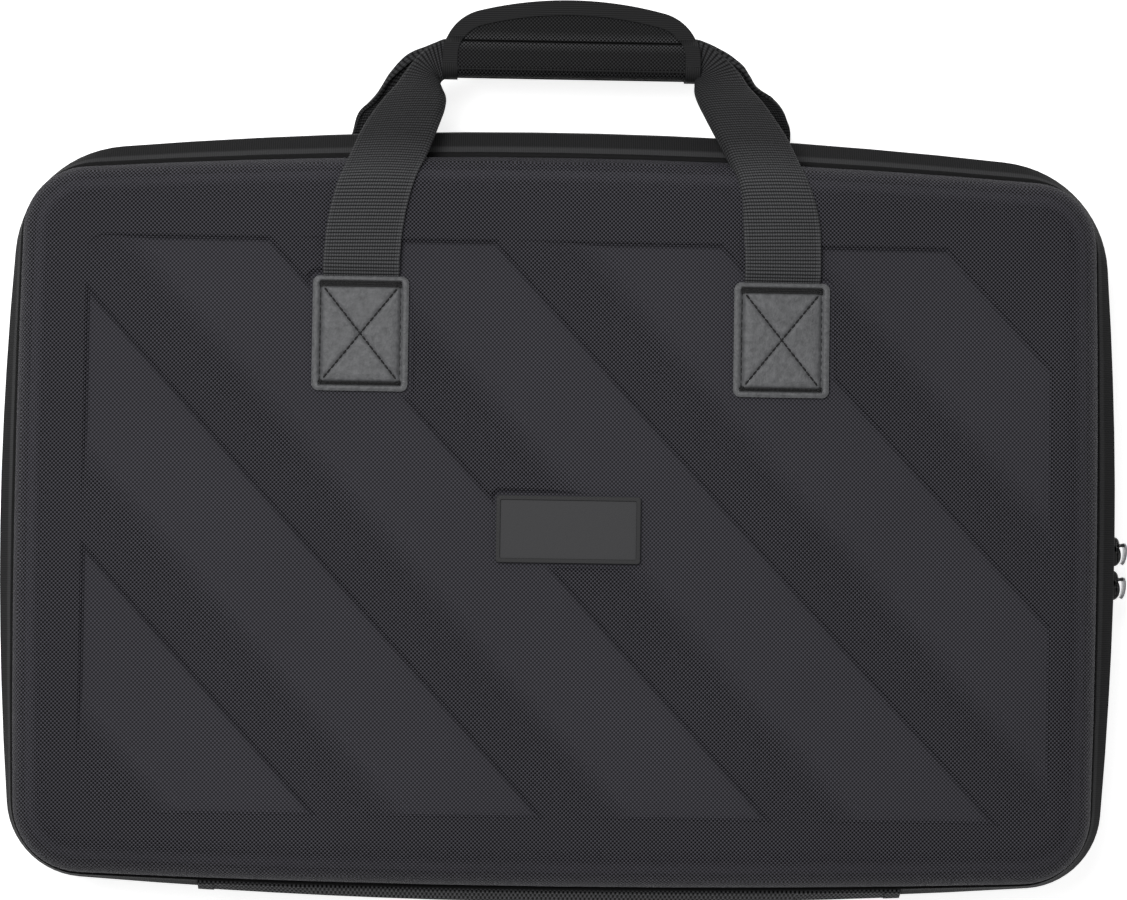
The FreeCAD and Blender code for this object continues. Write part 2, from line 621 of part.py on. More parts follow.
def grip_profile(grow, x):
    """The closed outer section of the grip in the YZ plane, grown by a thickness."""
    half = WRAP_INNER + GRIP_PAD + grow
    fin = FASTENER_THICK + GRIP_PAD + grow
    corner = GRIP_ROUND + grow
    bottom = GRIP_BOTTOM_Y - grow
    lean = math.atan2(half - fin, GRIP_TAPER)
    crease = GRIP_BOTTOM_Y + GRIP_CREASE + grow * math.tan(lean / 2)
    shoulder = crease - GRIP_TAPER
    top = GRIP_BOTTOM_Y + GRIP_HEIGHT + grow
    bend = corner * (1 - math.sqrt(0.5))
    right = [V(x, bottom, half - corner), V(x, bottom + bend, half - bend),
             V(x, bottom + corner, half), V(x, shoulder, half), V(x, crease, fin), V(x, top, fin)]
    left = [V(p.x, p.y, -p.z) for p in right]
    lift = V(0, 0, MID_Z)
    right = [p + lift for p in right]
    left = [p + lift for p in left]
    edges = [Part.Arc(right[0], right[1], right[2]).toShape(),
             Part.makeLine(right[2], right[3]), Part.makeLine(right[3], right[4]),
             Part.makeLine(right[4], right[5]), Part.makeLine(right[5], left[5]),
             Part.makeLine(left[5], left[4]), Part.makeLine(left[4], left[3]),
             Part.makeLine(left[3], left[2]),
             Part.Arc(left[2], left[1], left[0]).toShape(), Part.makeLine(left[0], right[0])]
    return Part.Face(Part.Wire(edges))


def grip_outline(grow):
    """The grip seen from the front: straight ends and a bowed top with wide round corners."""
    length = GRIP_LENGTH + 2 * grow
    low = V(GRIP_X - length / 2, GRIP_BOTTOM_Y - GRIP_PAD - grow, 0)
    high = V(GRIP_X + length / 2, GRIP_BOTTOM_Y + GRIP_HEIGHT + grow, TOP_Z)
    radius = GRIP_TOP_RADIUS + grow
    bow = Part.makeCylinder(radius, TOP_Z, V(GRIP_X, high.y - radius, 0))
    block = box_between(low, high).common(bow)
    edges = [e for e in block.Edges
             if min(v.Y for v in e.Vertexes) > low.y + 1e-5
             and abs(e.Vertexes[0].Z - e.Vertexes[-1].Z) > 1e-5]
    turn = math.pi / 2 - math.asin(length / 2 / radius)
    side = edges[0].Vertexes[0].Y - low.y
    corner = min(GRIP_TOP_CORNER + grow, GRIP_CORNER_SHARE * side / math.tan(turn / 2))
    return block.makeFillet(corner, edges)


def grip_solid(grow):
    """The filled grip, grown by a thickness."""
    start = GRIP_X - GRIP_LENGTH / 2 - grow
    body = grip_profile(grow, start).extrude(V(GRIP_LENGTH + 2 * grow, 0, 0))
    return body.common(grip_outline(grow))


def grip_hollow():
    """What the pads leave free inside: room for both bundles, and a slot between the fins."""
    start = V(GRIP_X - GRIP_LENGTH, GRIP_BOTTOM_Y + GRIP_CREASE - GRIP_TAPER, MID_Z)
    lift = V(0, 0, FASTENER_THICK)
    slot = box_between(start - lift, start + V(2 * GRIP_LENGTH, 2 * GRIP_HEIGHT, 0) + lift)
    return grip_profile(-GRIP_PAD, start.x).extrude(V(2 * GRIP_LENGTH, 0, 0)).fuse(slot)


def grip_half(shape, side):
    """The front or rear half of a grip piece, which part at the middle of the bag."""
    levels = sorted((side * GRIP_PARTING / 2, side * HALF_DEPTH))
    return shape.common(box_between(V(GRIP_X - GRIP_LENGTH, 0, MID_Z + levels[0]),
                                    V(GRIP_X + GRIP_LENGTH, 2 * GRIP_BOTTOM_Y, MID_Z + levels[1])))


def grip_pad(side):
    """One padded leaf of the grip, round its own handle's bundle."""
    return grip_half(grip_solid(0.0).cut(grip_hollow()), side)


def grip_binding(side):
    """The tape sewn over the ends and the top edge of one leaf."""
    skin = grip_solid(GRIP_BINDING_THICK).cut(grip_solid(0.0))
    field = grip_outline(-GRIP_BINDING_WIDTH)
    below = box_between(V(GRIP_X - GRIP_LENGTH / 2 + GRIP_BINDING_WIDTH,
                          GRIP_BOTTOM_Y - 2 * GRIP_PAD, 0),
                        V(GRIP_X + GRIP_LENGTH / 2 - GRIP_BINDING_WIDTH,
                          GRIP_BOTTOM_Y + GRIP_PAD, TOP_Z))
    return grip_half(skin.cut([field.fuse(below), grip_hollow()]), side)


def fastener_strip(side):
    """The hook or the loop strip between the leaves of the grip."""
    levels = sorted((0.0, side * FASTENER_THICK))
    half = GRIP_LENGTH / 2 - FASTENER_END
    bow = GRIP_TOP_RADIUS - math.sqrt(GRIP_TOP_RADIUS ** 2 - half ** 2)
    low = GRIP_BOTTOM_Y + GRIP_CREASE + FASTENER_MARGIN
    high = GRIP_BOTTOM_Y + GRIP_HEIGHT - bow - FASTENER_MARGIN
    return box_between(V(GRIP_X - half, low, MID_Z + levels[0]),
                       V(GRIP_X + half, high, MID_Z + levels[1]))


# Zip sliders, drawn at the middle of the right side and turned to their places along its arc

def side_centre():
    """The centre of the arc that the right side of the rim follows."""
    return V(RIM_ENDS[0] - RIM_RIGHT_RADIUS, 0, MID_Z)


def along_side(shape, place_y):
    """Turns a shape round the side's centre to a given Y."""
    angle = math.degrees(math.asin(place_y / RIM_RIGHT_RADIUS))
    return shape.rotated(side_centre(), V(0, 0, 1), angle)


def slider_levels():
    """X of the outer plate's faces and the inner plate's faces."""
    edge = RIM_ENDS[0] - CHAIN_INSET
    outer = edge + SLIDER_PLAY
    inner = edge - CHAIN_THICK - SLIDER_PLAY
    return outer, outer + SLIDER_PLATE, inner, inner - SLIDER_PLATE


def slider_body():
    """Outer and inner plate, the post between them, and the bail for the puller."""
    outer, crown, inner, back = slider_levels()
    half = SLIDER_LENGTH / 2
    wide = SLIDER_WIDTH / 2
    shield = box_between(V(outer, -half, MID_Z - wide), V(crown, half, MID_Z + wide))
    shield = shield.makeFillet(SLIDER_ROUND,
                               [e for e in shield.Edges
                                if all(abs(v.X - crown) < 1e-5 for v in e.Vertexes)])
    plate_in = box_between(V(back, -half, MID_Z - SLIDER_INNER_WIDTH / 2),
                           V(inner, half, MID_Z + SLIDER_INNER_WIDTH / 2))
    post = box_between(V(inner, -half, MID_Z - SLIDER_POST / 2),
                       V(outer, half, MID_Z + SLIDER_POST / 2))
    bail_low = BAIL_RISE - BAIL_LENGTH / 2
    bail_high = BAIL_RISE + BAIL_LENGTH / 2
    arch = box_between(V(crown - SLIDER_PLATE / 2, bail_low, MID_Z - BAIL_WIDTH / 2),
                       V(crown + BAIL_HEIGHT, bail_high, MID_Z + BAIL_WIDTH / 2))
    arch = arch.makeFillet(BAIL_ROUND,
                           [e for e in arch.Edges
                            if all(abs(v.X - crown - BAIL_HEIGHT) < 1e-5 for v in e.Vertexes)
                            and abs(e.Vertexes[0].Y - e.Vertexes[1].Y) < 1e-5])
    eye = box_between(V(crown, bail_low + BAIL_BAR, MID_Z - BAIL_WIDTH),
                      V(crown + BAIL_HEIGHT - BAIL_BAR, bail_high - BAIL_BAR,
                        MID_Z + BAIL_WIDTH))
    return shield.fuse([plate_in, post, arch.cut(eye)]).removeSplitter()


def puller_pivot():
    """Where the puller's bar sits in the bail."""
    crown = slider_levels()[1]
    return V(crown + (BAIL_HEIGHT - BAIL_BAR) / 2, BAIL_RISE, MID_Z)


def puller():
    """A bowed metal loop that hangs from the bail."""
    pivot = puller_pivot()
    chord = PULLER_LENGTH - PULLER_WIRE
    half = PULLER_WIRE / 2
    start = pivot
    finish = pivot + V(0, -chord, 0)
    belly = pivot + V(PULLER_BOW, -chord / 2, 0)
    centre_x = pivot.x + PULLER_BOW / 2 - chord ** 2 / (8 * PULLER_BOW)
    middle = V(centre_x, pivot.y - chord / 2, MID_Z)
    radius = belly.x - centre_x
    low = V(0, 0, -PULLER_WIDTH / 2)
    up = V(0, 0, PULLER_WIDTH)

    def at(point, grow):
        return middle + unit(point - middle) * (radius + grow) + low

    edges = [Part.Arc(at(start, half), at(belly, half), at(finish, half)).toShape(),
             Part.makeLine(at(finish, half), at(finish, -half)),
             Part.Arc(at(finish, -half), at(belly, -half), at(start, -half)).toShape(),
             Part.makeLine(at(start, -half), at(start, half))]
    loop = Part.Face(Part.Wire(edges)).extrude(up)
    inside = PULLER_WIDTH / 2 - PULLER_WIRE
    window = box_between(V(pivot.x - chord, -2 * chord, MID_Z - inside),
                         V(pivot.x + chord, chord, MID_Z + inside))
    loop = loop.cut(window)
    ends = [Part.makeCylinder(half, PULLER_WIDTH, start + low),
            Part.makeCylinder(half, PULLER_WIDTH, finish + low)]
    return loop.fuse(ends).removeSplitter()


def build_nodes():
    """Every piece of the bag by name."""
    left_x, right_x = patch_centres()
    return {
        "front_shell": front_shell(),
        "rear_shell": rear_shell(),
        "front_zip_tape": zip_tape(1),
        "rear_zip_tape": zip_tape(-1),
        "front_zip_chain": zip_chain(1),
        "rear_zip_chain": zip_chain(-1),
        "front_rim_binding": rim_binding(1),
        "rear_rim_binding": rim_binding(-1),
        "front_hinge_band": hinge_band(1),
        "rear_hinge_band": hinge_band(-1),
        "front_hinge_tabs": hinge_tabs(1),
        "rear_hinge_tabs": hinge_tabs(-1),
        "front_left_patch": patch(left_x, 1),
        "front_right_patch": patch(right_x, 1),
        "rear_left_patch": patch(left_x, -1),
        "rear_right_patch": patch(right_x, -1),
        "badge": badge(),
        "front_handle_strap": handle_strap(1),
        "rear_handle_strap": handle_strap(-1),
        "front_grip_pad": grip_pad(1),
        "rear_grip_pad": grip_pad(-1),
        "front_grip_binding": grip_binding(1),
        "rear_grip_binding": grip_binding(-1),
        "grip_loop_strip": fastener_strip(1),
        "grip_hook_strip": fastener_strip(-1),
        "upper_slider": along_side(slider_body(), SLIDER_UPPER_Y),
        "lower_slider": along_side(slider_body(), SLIDER_LOWER_Y),
        "upper_puller": along_side(puller(), SLIDER_UPPER_Y),
        "lower_puller": along_side(puller(), SLIDER_LOWER_Y),
        "lid_foam": foam_pad(1),
        "base_foam": foam_pad(-1),
    }


nodes = build_nodes()
whole = Part.makeCompound(list(nodes.values())).optimalBoundingBox(False)
origin = V(whole.Center.x, whole.Center.y, whole.ZMin)
os.makedirs("parts", exist_ok=True)
for name, shape in nodes.items():
    shape.translate(-origin)
    shape.exportStep(os.path.join("parts", name + ".step"))
    print(name, len(shape.Solids), round(shape.Volume / 1000.0, 2), "cm3", shape.isValid())
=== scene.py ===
import bmesh
import bpy
import math
from mathutils import Euler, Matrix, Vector


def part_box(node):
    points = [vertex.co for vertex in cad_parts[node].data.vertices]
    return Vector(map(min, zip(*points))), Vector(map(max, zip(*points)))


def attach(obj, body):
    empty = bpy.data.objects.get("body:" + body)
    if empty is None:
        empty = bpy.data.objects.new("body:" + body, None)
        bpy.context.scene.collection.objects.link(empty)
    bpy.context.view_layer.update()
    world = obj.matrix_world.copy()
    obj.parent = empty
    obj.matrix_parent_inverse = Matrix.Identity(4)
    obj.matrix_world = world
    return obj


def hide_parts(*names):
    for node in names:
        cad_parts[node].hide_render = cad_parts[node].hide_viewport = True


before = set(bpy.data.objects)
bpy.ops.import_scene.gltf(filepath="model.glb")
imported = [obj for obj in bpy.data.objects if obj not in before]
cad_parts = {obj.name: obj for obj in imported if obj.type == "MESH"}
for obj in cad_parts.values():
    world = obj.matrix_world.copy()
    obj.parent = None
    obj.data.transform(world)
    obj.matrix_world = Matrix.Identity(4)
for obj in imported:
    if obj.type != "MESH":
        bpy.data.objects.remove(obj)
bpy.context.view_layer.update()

# Studio
# The bag lies on a pale floor. A wide soft lamp hangs over its upper left, a weaker one to the
# right, and the camera looks down on the front face from about two metres.

front_low, front_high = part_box("front_shell")
rear_low, rear_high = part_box("rear_shell")
middle = Vector(((front_low.x + front_high.x) / 2 - 0.00175,
                 (front_low.y + front_high.y) / 2 - 0.00375,
                 (front_low.z + rear_high.z) / 2))
face_level = front_high.z


def alone(piece):
    """Selects one piece and nothing else."""
    if bpy.context.object and bpy.context.object.mode != "OBJECT":
        bpy.ops.object.mode_set(mode="OBJECT")
    bpy.ops.object.select_all(action="DESELECT")
    piece.select_set(True)
    bpy.context.view_layer.objects.active = piece


def wired(tree, value, socket):
    """Links a socket, or sets a plain value."""
    if hasattr(value, "is_output"):
        tree.links.new(value, socket)
    else:
        socket.default_value = value


def sum_of(tree, operation, first, second=0.0, third=0.0):
    """One step of arithmetic on numbers or sockets."""
    step = tree.nodes.new("ShaderNodeMath")
    step.operation = operation
    for socket, value in zip(step.inputs, (first, second, third)):
        wired(tree, value, socket)
    return step.outputs[0]


bpy.ops.object.select_all(action="DESELECT")
bpy.ops.mesh.primitive_plane_add(size=12.0, location=(0, 0, -0.0004))
floor = bpy.context.object
floor.name = "studio_floor"
floor_paint = bpy.data.materials.new("pale floor")
floor_paint.use_nodes = True
floor_tree = floor_paint.node_tree
floor_shader = floor_tree.nodes["Principled BSDF"]
floor_ray = floor_tree.nodes.new("ShaderNodeLightPath")
floor_glow = 0.75
floor_seen = sum_of(floor_tree, "MAXIMUM", floor_ray.outputs["Is Camera Ray"],
                    floor_ray.outputs["Is Glossy Ray"])
floor_tree.links.new(sum_of(floor_tree, "MULTIPLY", floor_seen, floor_glow),
                     floor_shader.inputs["Emission Strength"])
floor_shader.inputs["Emission Color"].default_value = (1, 1, 1, 1)
floor_shader.inputs["Base Color"].default_value = (0.9, 0.9, 0.9, 1)
floor_shader.inputs["Roughness"].default_value = 0.9
floor_shader.inputs["Specular IOR Level"].default_value = 0.1
floor.data.materials.append(floor_paint)

world = bpy.data.worlds.new("studio air")
bpy.context.scene.world = world
world.use_nodes = True
air = world.node_tree
glow = air.nodes["Background"]
seen = air.nodes.new("ShaderNodeLightPath")
straight = sum_of(air, "MAXIMUM", seen.outputs["Is Camera Ray"], seen.outputs["Is Transmission Ray"])
glow.inputs["Color"].default_value = (1, 1, 1, 1)
room_light = 0.28
air.links.new(sum_of(air, "MULTIPLY_ADD", straight, 1.0 - room_light, room_light),
              glow.inputs["Strength"])

for lamp_name, lamp_place, lamp_size, lamp_power in (
        ("upper left softbox", (-0.45, 0.4, 1.85), 0.8, 24.5),
        ("right fill", (1.5, -0.6, 1.5), 1.4, 1.2)):
    lamp = bpy.data.objects.new(lamp_name, bpy.data.lights.new(lamp_name, "AREA"))
    lamp.data.size = lamp_size
    lamp.data.energy = lamp_power
    lamp.location = lamp_place
    lamp.rotation_euler = (Vector(lamp_place) - middle).to_track_quat("Z", "Y").to_euler()
    bpy.context.collection.objects.link(lamp)

photo_width, photo_height = 1127, 900
camera_offset = Vector((-0.0435, -0.0234, 1.9112))
camera = bpy.data.objects.new("camera", bpy.data.cameras.new("camera"))
camera.data.sensor_width = 36.0
camera.data.lens = 119.05
camera.location = middle + camera_offset
camera.rotation_euler = Euler((math.radians(1.786), math.radians(-1.427), math.radians(0.863)))
bpy.context.collection.objects.link(camera)
bpy.context.scene.camera = camera
bpy.context.scene.view_settings.view_transform = "Standard"

# Moulded shells
# Each half is a tray of stiff foam with black ballistic nylon bonded to it, pressed in a hot mould.
# The yarns stand out on the frame and the ribs, and are pressed flat on the sunk panels.


def new_group(name, inputs, outputs):
    """An empty shader group with its ends."""
    group = bpy.data.node_groups.new(name, "ShaderNodeTree")
    for label, kind in inputs:
        group.interface.new_socket(name=label, in_out="INPUT", socket_type="NodeSocket" + kind)
    for label, kind in outputs:
        group.interface.new_socket(name=label, in_out="OUTPUT", socket_type="NodeSocket" + kind)
    return group, group.nodes.new("NodeGroupInput").outputs, group.nodes.new("NodeGroupOutput").inputs


def placed(tree, group, **values):
    """One use of a group with its own values."""
    use = tree.nodes.new("ShaderNodeGroup")
    use.node_tree = group
    for label, value in values.items():
        wired(tree, value, use.inputs[label])
    return use.outputs


def split(tree, vector):
    """The three parts of a vector."""
    parts = tree.nodes.new("ShaderNodeSeparateXYZ")
    tree.links.new(vector, parts.inputs[0])
    return parts.outputs


def ramp(tree, value, low, high, first=0.0, last=1.0):
    """Runs from the first number to the last while a value goes from low to high."""
    step = tree.nodes.new("ShaderNodeMapRange")
    for label, number in (("From Min", low), ("From Max", high), ("To Min", first), ("To Max", last)):
        step.inputs[label].default_value = number
    tree.links.new(value, step.inputs["Value"])
    return step.outputs[0]


def noise(tree, place, scale, detail=2.0):
    """Even noise over a piece."""
    grain = tree.nodes.new("ShaderNodeTexNoise")
    grain.inputs["Scale"].default_value = scale
    grain.inputs["Detail"].default_value = detail
    tree.links.new(place, grain.inputs["Vector"])
    return grain.outputs[0]


# Cloth laid over a form: across the faces it follows X and Y, down the sides the side and the height
laid_over, given, result = new_group("laid over", [("Place", "Vector"), ("Normal", "Vector")],
                                     [("Flat", "Vector"), ("Run", "Float")])
place_x, place_y, place_z = split(laid_over, given["Place"])
turn_x, turn_y, turn_z = [sum_of(laid_over, "ABSOLUTE", part) for part in split(laid_over, given["Normal"])]
on_face = sum_of(laid_over, "GREATER_THAN", turn_z, 0.55)
on_long = sum_of(laid_over, "GREATER_THAN", turn_y, turn_x)
side_run = sum_of(laid_over, "MULTIPLY_ADD", sum_of(laid_over, "SUBTRACT", place_x, place_y),
                  on_long, place_y)
flat_u = sum_of(laid_over, "MULTIPLY_ADD", sum_of(laid_over, "SUBTRACT", place_x, side_run),
                on_face, side_run)
flat_v = sum_of(laid_over, "MULTIPLY_ADD", sum_of(laid_over, "SUBTRACT", place_y, place_z),
                on_face, place_z)
flat_out = laid_over.nodes.new("ShaderNodeCombineXYZ")
laid_over.links.new(flat_u, flat_out.inputs[0])
laid_over.links.new(flat_v, flat_out.inputs[1])
laid_over.links.new(flat_out.outputs[0], result["Flat"])
laid_over.links.new(side_run, result["Run"])

# Plain weave: every yarn is a low dome that passes over and under its neighbours
plain_weave, given, result = new_group("plain weave", [("Flat", "Vector"), ("Yarn X", "Float"),
                                                       ("Yarn Y", "Float")],
                                       [("Height", "Float"), ("Top", "Float")])
weave_u, weave_v = split(plain_weave, given["Flat"])[:2]
wave_u = sum_of(plain_weave, "SINE", sum_of(plain_weave, "MULTIPLY", math.pi,
                                            sum_of(plain_weave, "DIVIDE", weave_u, given["Yarn X"])))
wave_v = sum_of(plain_weave, "SINE", sum_of(plain_weave, "MULTIPLY", math.pi,
                                            sum_of(plain_weave, "DIVIDE", weave_v, given["Yarn Y"])))
over_under = sum_of(plain_weave, "MULTIPLY", wave_u, wave_v)
dome = sum_of(plain_weave, "POWER", sum_of(plain_weave, "ABSOLUTE", over_under), 0.6)
plain_weave.links.new(sum_of(plain_weave, "MULTIPLY_ADD", over_under, 0.35,
                             sum_of(plain_weave, "MULTIPLY", dome, 0.65)), result["Height"])
lit = sum_of(plain_weave, "MULTIPLY", dome, sum_of(plain_weave, "SIGN", over_under))
shown = sum_of(plain_weave, "MULTIPLY_ADD", lit, 0.8, 0.5)
plain_weave.links.new(sum_of(plain_weave, "MINIMUM", sum_of(plain_weave, "MAXIMUM", shown, 0.0), 1.0),
                      result["Top"])

# Soft unevenness of dye and handling, from large cloudy noise and a little fine dust
uneven, given, result = new_group("uneven dye", [("Place", "Vector"), ("Spread", "Float")],
                                  [("Shade", "Float")])
cloud = noise(uneven, given["Place"], 9.0, 3.0)
dust = noise(uneven, given["Place"], 1400.0)
both = sum_of(uneven, "ADD", sum_of(uneven, "SUBTRACT", cloud, 0.5),
              sum_of(uneven, "MULTIPLY", sum_of(uneven, "SUBTRACT", dust, 0.5), 0.8))
uneven.links.new(sum_of(uneven, "MULTIPLY_ADD", both, given["Spread"], 1.0), result["Shade"])


def finish_of(name, roughness, specular=0.3, sheen=0.0):
    """A new material, its tree, its shader, object coordinates and the object's own normal."""
    made = bpy.data.materials.new(name)
    made.use_nodes = True
    tree = made.node_tree
    shader = tree.nodes["Principled BSDF"]
    shader.inputs["Roughness"].default_value = roughness
    shader.inputs["Specular IOR Level"].default_value = specular
    shader.inputs["Sheen Weight"].default_value = sheen
    shader.inputs["Sheen Roughness"].default_value = 0.5
    where = tree.nodes.new("ShaderNodeTexCoord")
    return made, tree, shader, where.outputs


def shade_between(tree, shader, dark, light, share, shade=None):
    """Colours the surface between a dark and a light tone."""
    tone = tree.nodes.new("ShaderNodeMix")
    tone.data_type = "RGBA"
    tone.inputs[6].default_value = (*dark, 1)
    tone.inputs[7].default_value = (*light, 1)
    wired(tree, share, tone.inputs[0])
    colour = tone.outputs[2]
    if shade is not None:
        scaled = tree.nodes.new("ShaderNodeVectorMath")
        scaled.operation = "SCALE"
        tree.links.new(colour, scaled.inputs[0])
        tree.links.new(shade, scaled.inputs["Scale"])
        colour = scaled.outputs[0]
    tree.links.new(colour, shader.inputs["Base Color"])


def relief(tree, shader, height, distance, soft_edge=0.0, strength=1.0):
    """Raises the surface by a height pattern, over edges that are softened first."""
    bump = tree.nodes.new("ShaderNodeBump")
    bump.inputs["Distance"].default_value = distance
    wired(tree, strength, bump.inputs["Strength"])
    tree.links.new(height, bump.inputs["Height"])
    if soft_edge:
        round_edge = tree.nodes.new("ShaderNodeBevel")
        round_edge.samples = 6
        round_edge.inputs["Radius"].default_value = soft_edge
        tree.links.new(round_edge.outputs[0], bump.inputs["Normal"])
    tree.links.new(bump.outputs[0], shader.inputs["Normal"])


def dress(material, *names):
    """Gives CAD pieces a material."""
    for name in names:
        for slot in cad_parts[name].material_slots:
            slot.material = material


ballistic, tree, shader, where = finish_of("ballistic nylon", 0.65, 0.1, 0.0)
laid = placed(tree, laid_over, Place=where["Object"], Normal=where["Normal"])
yarns = placed(tree, plain_weave, Flat=laid["Flat"], **{"Yarn X": 0.00098, "Yarn Y": 0.00098})
height_z = split(tree, where["Object"])[2]
sunk = ramp(tree, height_z, face_level - 0.0022, face_level - 0.0008, 0.72)
below_face = sum_of(tree, "LESS_THAN", height_z, face_level - 0.004)
pressed = sum_of(tree, "MAXIMUM", sunk, below_face)
dye = placed(tree, uneven, Place=where["Object"], Spread=0.22)["Shade"]
from_middle = sum_of(tree, "ABSOLUTE", sum_of(tree, "SUBTRACT", height_z, middle.z))
# Painted shade: the nylon darkens towards the rim, to 0.7 of its tone near the mid-plane, for the shade in
# the groove by the rim binding.
painted_rim_shade = ramp(tree, from_middle, 0.003, 0.024, 0.7)
shade_between(tree, shader, (0.0, 0.0, 0.0), (0.093, 0.0905, 0.106),
              sum_of(tree, "MULTIPLY_ADD", sum_of(tree, "SUBTRACT", yarns["Top"], 0.5), pressed, 0.5),
              sum_of(tree, "MULTIPLY", dye, painted_rim_shade))
relief(tree, shader, yarns["Height"], 0.00055, 0.0016, pressed)
dress(ballistic, "front_shell", "rear_shell")

# Rim bindings
# A folded grosgrain ribbon, stitched through shell lip and zip tape, covers the raw edge of each half.

ribbon, tree, shader, where = finish_of("grosgrain ribbon", 0.7, 0.12, 0.0)
laid = placed(tree, laid_over, Place=where["Object"], Normal=where["Normal"])
rib = sum_of(tree, "ABSOLUTE", sum_of(tree, "SINE", sum_of(tree, "MULTIPLY", laid["Run"], math.pi / 0.0011)))
dye = placed(tree, uneven, Place=where["Object"], Spread=0.3)["Shade"]
from_middle = sum_of(tree, "ABSOLUTE", sum_of(tree, "SUBTRACT", split(tree, where["Object"])[2], middle.z))
selvedge = ramp(tree, from_middle, 0.0142, 0.0150)
# Painted shade: past 16.4 mm from the mid-plane the ribbon turns near black, a dark line for the shade in
# the gap between binding and shell.
outside_painted_gap_shade = sum_of(tree, "LESS_THAN", from_middle, 0.0164)
shade_between(tree, shader, (0.010, 0.010, 0.0103), (0.056, 0.056, 0.0577),
              sum_of(tree, "MULTIPLY", outside_painted_gap_shade,
                     sum_of(tree, "MULTIPLY_ADD", selvedge, 0.6, sum_of(tree, "MULTIPLY", rib, 0.3))), dye)
relief(tree, shader, rib, 0.00012, 0.0008)
dress(ribbon, "front_rim_binding", "rear_rim_binding", "front_grip_binding", "rear_grip_binding")

# Zip
# A woven tape on each lip carries half of a moulded tooth row. The teeth of both halves mesh along
# the left, top and right sides, and stop where the fabric hinge begins.

tape_cloth, tree, shader, where = finish_of("zip tape", 0.75, 0.2, 0.1)
laid = placed(tree, laid_over, Place=where["Object"], Normal=where["Normal"])
yarns = placed(tree, plain_weave, Flat=laid["Flat"], **{"Yarn X": 0.0005, "Yarn Y": 0.0009})
shade_between(tree, shader, (0.008, 0.008, 0.0085), (0.028, 0.028, 0.03), yarns["Top"])
relief(tree, shader, yarns["Height"], 0.00015)
dress(tape_cloth, "front_zip_tape", "rear_zip_tape")

# Reach from the middle, radius of the bow and radius of the corner, for the right, top, left and
# hinge sides
rim_reach = (0.2885, 0.2015, 0.285, 0.194)
rim_bow = (1.25, 2.25, 1.2, 2.9)
rim_corner = (0.063, 0.063, 0.042, 0.042)
rim_sides = (Vector((1, 0)), Vector((0, 1)), Vector((-1, 0)), Vector((0, -1)))
side_steps, corner_steps = 300, 90
hinge_half = 0.17825
hinge_shift = -0.0008


def corner_centre(first, first_reach, second, second_reach, towards):
    """The centre of a corner that touches both bowed sides."""
    span = second - first
    along = (first_reach ** 2 - second_reach ** 2 + span.length ** 2) / (2 * span.length)
    across = Vector((-span.y, span.x)).normalized() * math.sqrt(first_reach ** 2 - along ** 2)
    foot = first + span.normalized() * along
    return foot + across if across.dot(towards) > 0 else foot - across


def on_circle(angle):
    """The place on a circle of radius one."""
    return Vector((math.cos(angle), math.sin(angle)))


def rim_line(inset):
    """Close points along the whole rim, anticlockwise from the middle of the right side."""
    reach = [value - inset for value in rim_reach]
    bow = [value - inset for value in rim_bow]
    corner = [value - inset for value in rim_corner]
    centres = [side * (r - b) for side, r, b in zip(rim_sides, reach, bow)]
    corners = [corner_centre(centres[i], bow[i] - corner[i], centres[(i + 1) % 4],
                             bow[(i + 1) % 4] - corner[i], rim_sides[i] + rim_sides[(i + 1) % 4])
               for i in range(4)]
    points = []
    for i in range(4):
        before = corners[i - 1]
        after = corners[i]
        start = math.atan2(*(before - centres[i]).yx)
        sweep = (math.atan2(*(after - centres[i]).yx) - start + math.pi) % (2 * math.pi) - math.pi
        points += [centres[i] + on_circle(start + sweep * k / side_steps) * bow[i]
                   for k in range(side_steps)]
        start = math.atan2(*(after - centres[i]).yx)
        sweep = (math.atan2(*(after - centres[(i + 1) % 4]).yx) - start + math.pi) % (2 * math.pi) - math.pi
        points += [after + on_circle(start + sweep * k / corner_steps) * corner[i]
                   for k in range(corner_steps)]
    return points


def spaced(points, pitch):
    """Evenly spaced places and directions round a closed row of points."""
    places = []
    left_over = pitch / 2
    for a, b in zip(points, points[1:] + points[:1]):
        step = (b - a).length
        while left_over < step:
            places.append((a + (b - a) * (left_over / step), (b - a).normalized()))
            left_over += pitch
        left_over -= step
    return places


def gathered(name, model, frames):
    """One piece made of many copies of a small model, each put in its own place."""
    corners = [vertex.co.copy() for vertex in model.data.vertices]
    faces = [tuple(face.vertices) for face in model.data.polygons]
    all_corners, all_faces = [], []
    for origin, x_way, y_way, z_way in frames:
        first = len(all_corners)
        all_corners += [origin + x_way * c.x + y_way * c.y + z_way * c.z for c in corners]
        all_faces += [tuple(first + index for index in face) for face in faces]
    mesh = bpy.data.meshes.new(name)
    mesh.from_pydata(all_corners, [], all_faces)
    piece = bpy.data.objects.new(name, mesh)
    bpy.context.collection.objects.link(piece)
    mesh.shade_smooth()
    return piece


def face_outwards(piece):
    """Turns all faces of a closed piece outwards."""
    alone(piece)
    bpy.ops.object.mode_set(mode="EDIT")
    bpy.ops.mesh.select_all(action="SELECT")
    bpy.ops.mesh.normals_make_consistent(inside=False)
    bpy.ops.object.mode_set(mode="OBJECT")


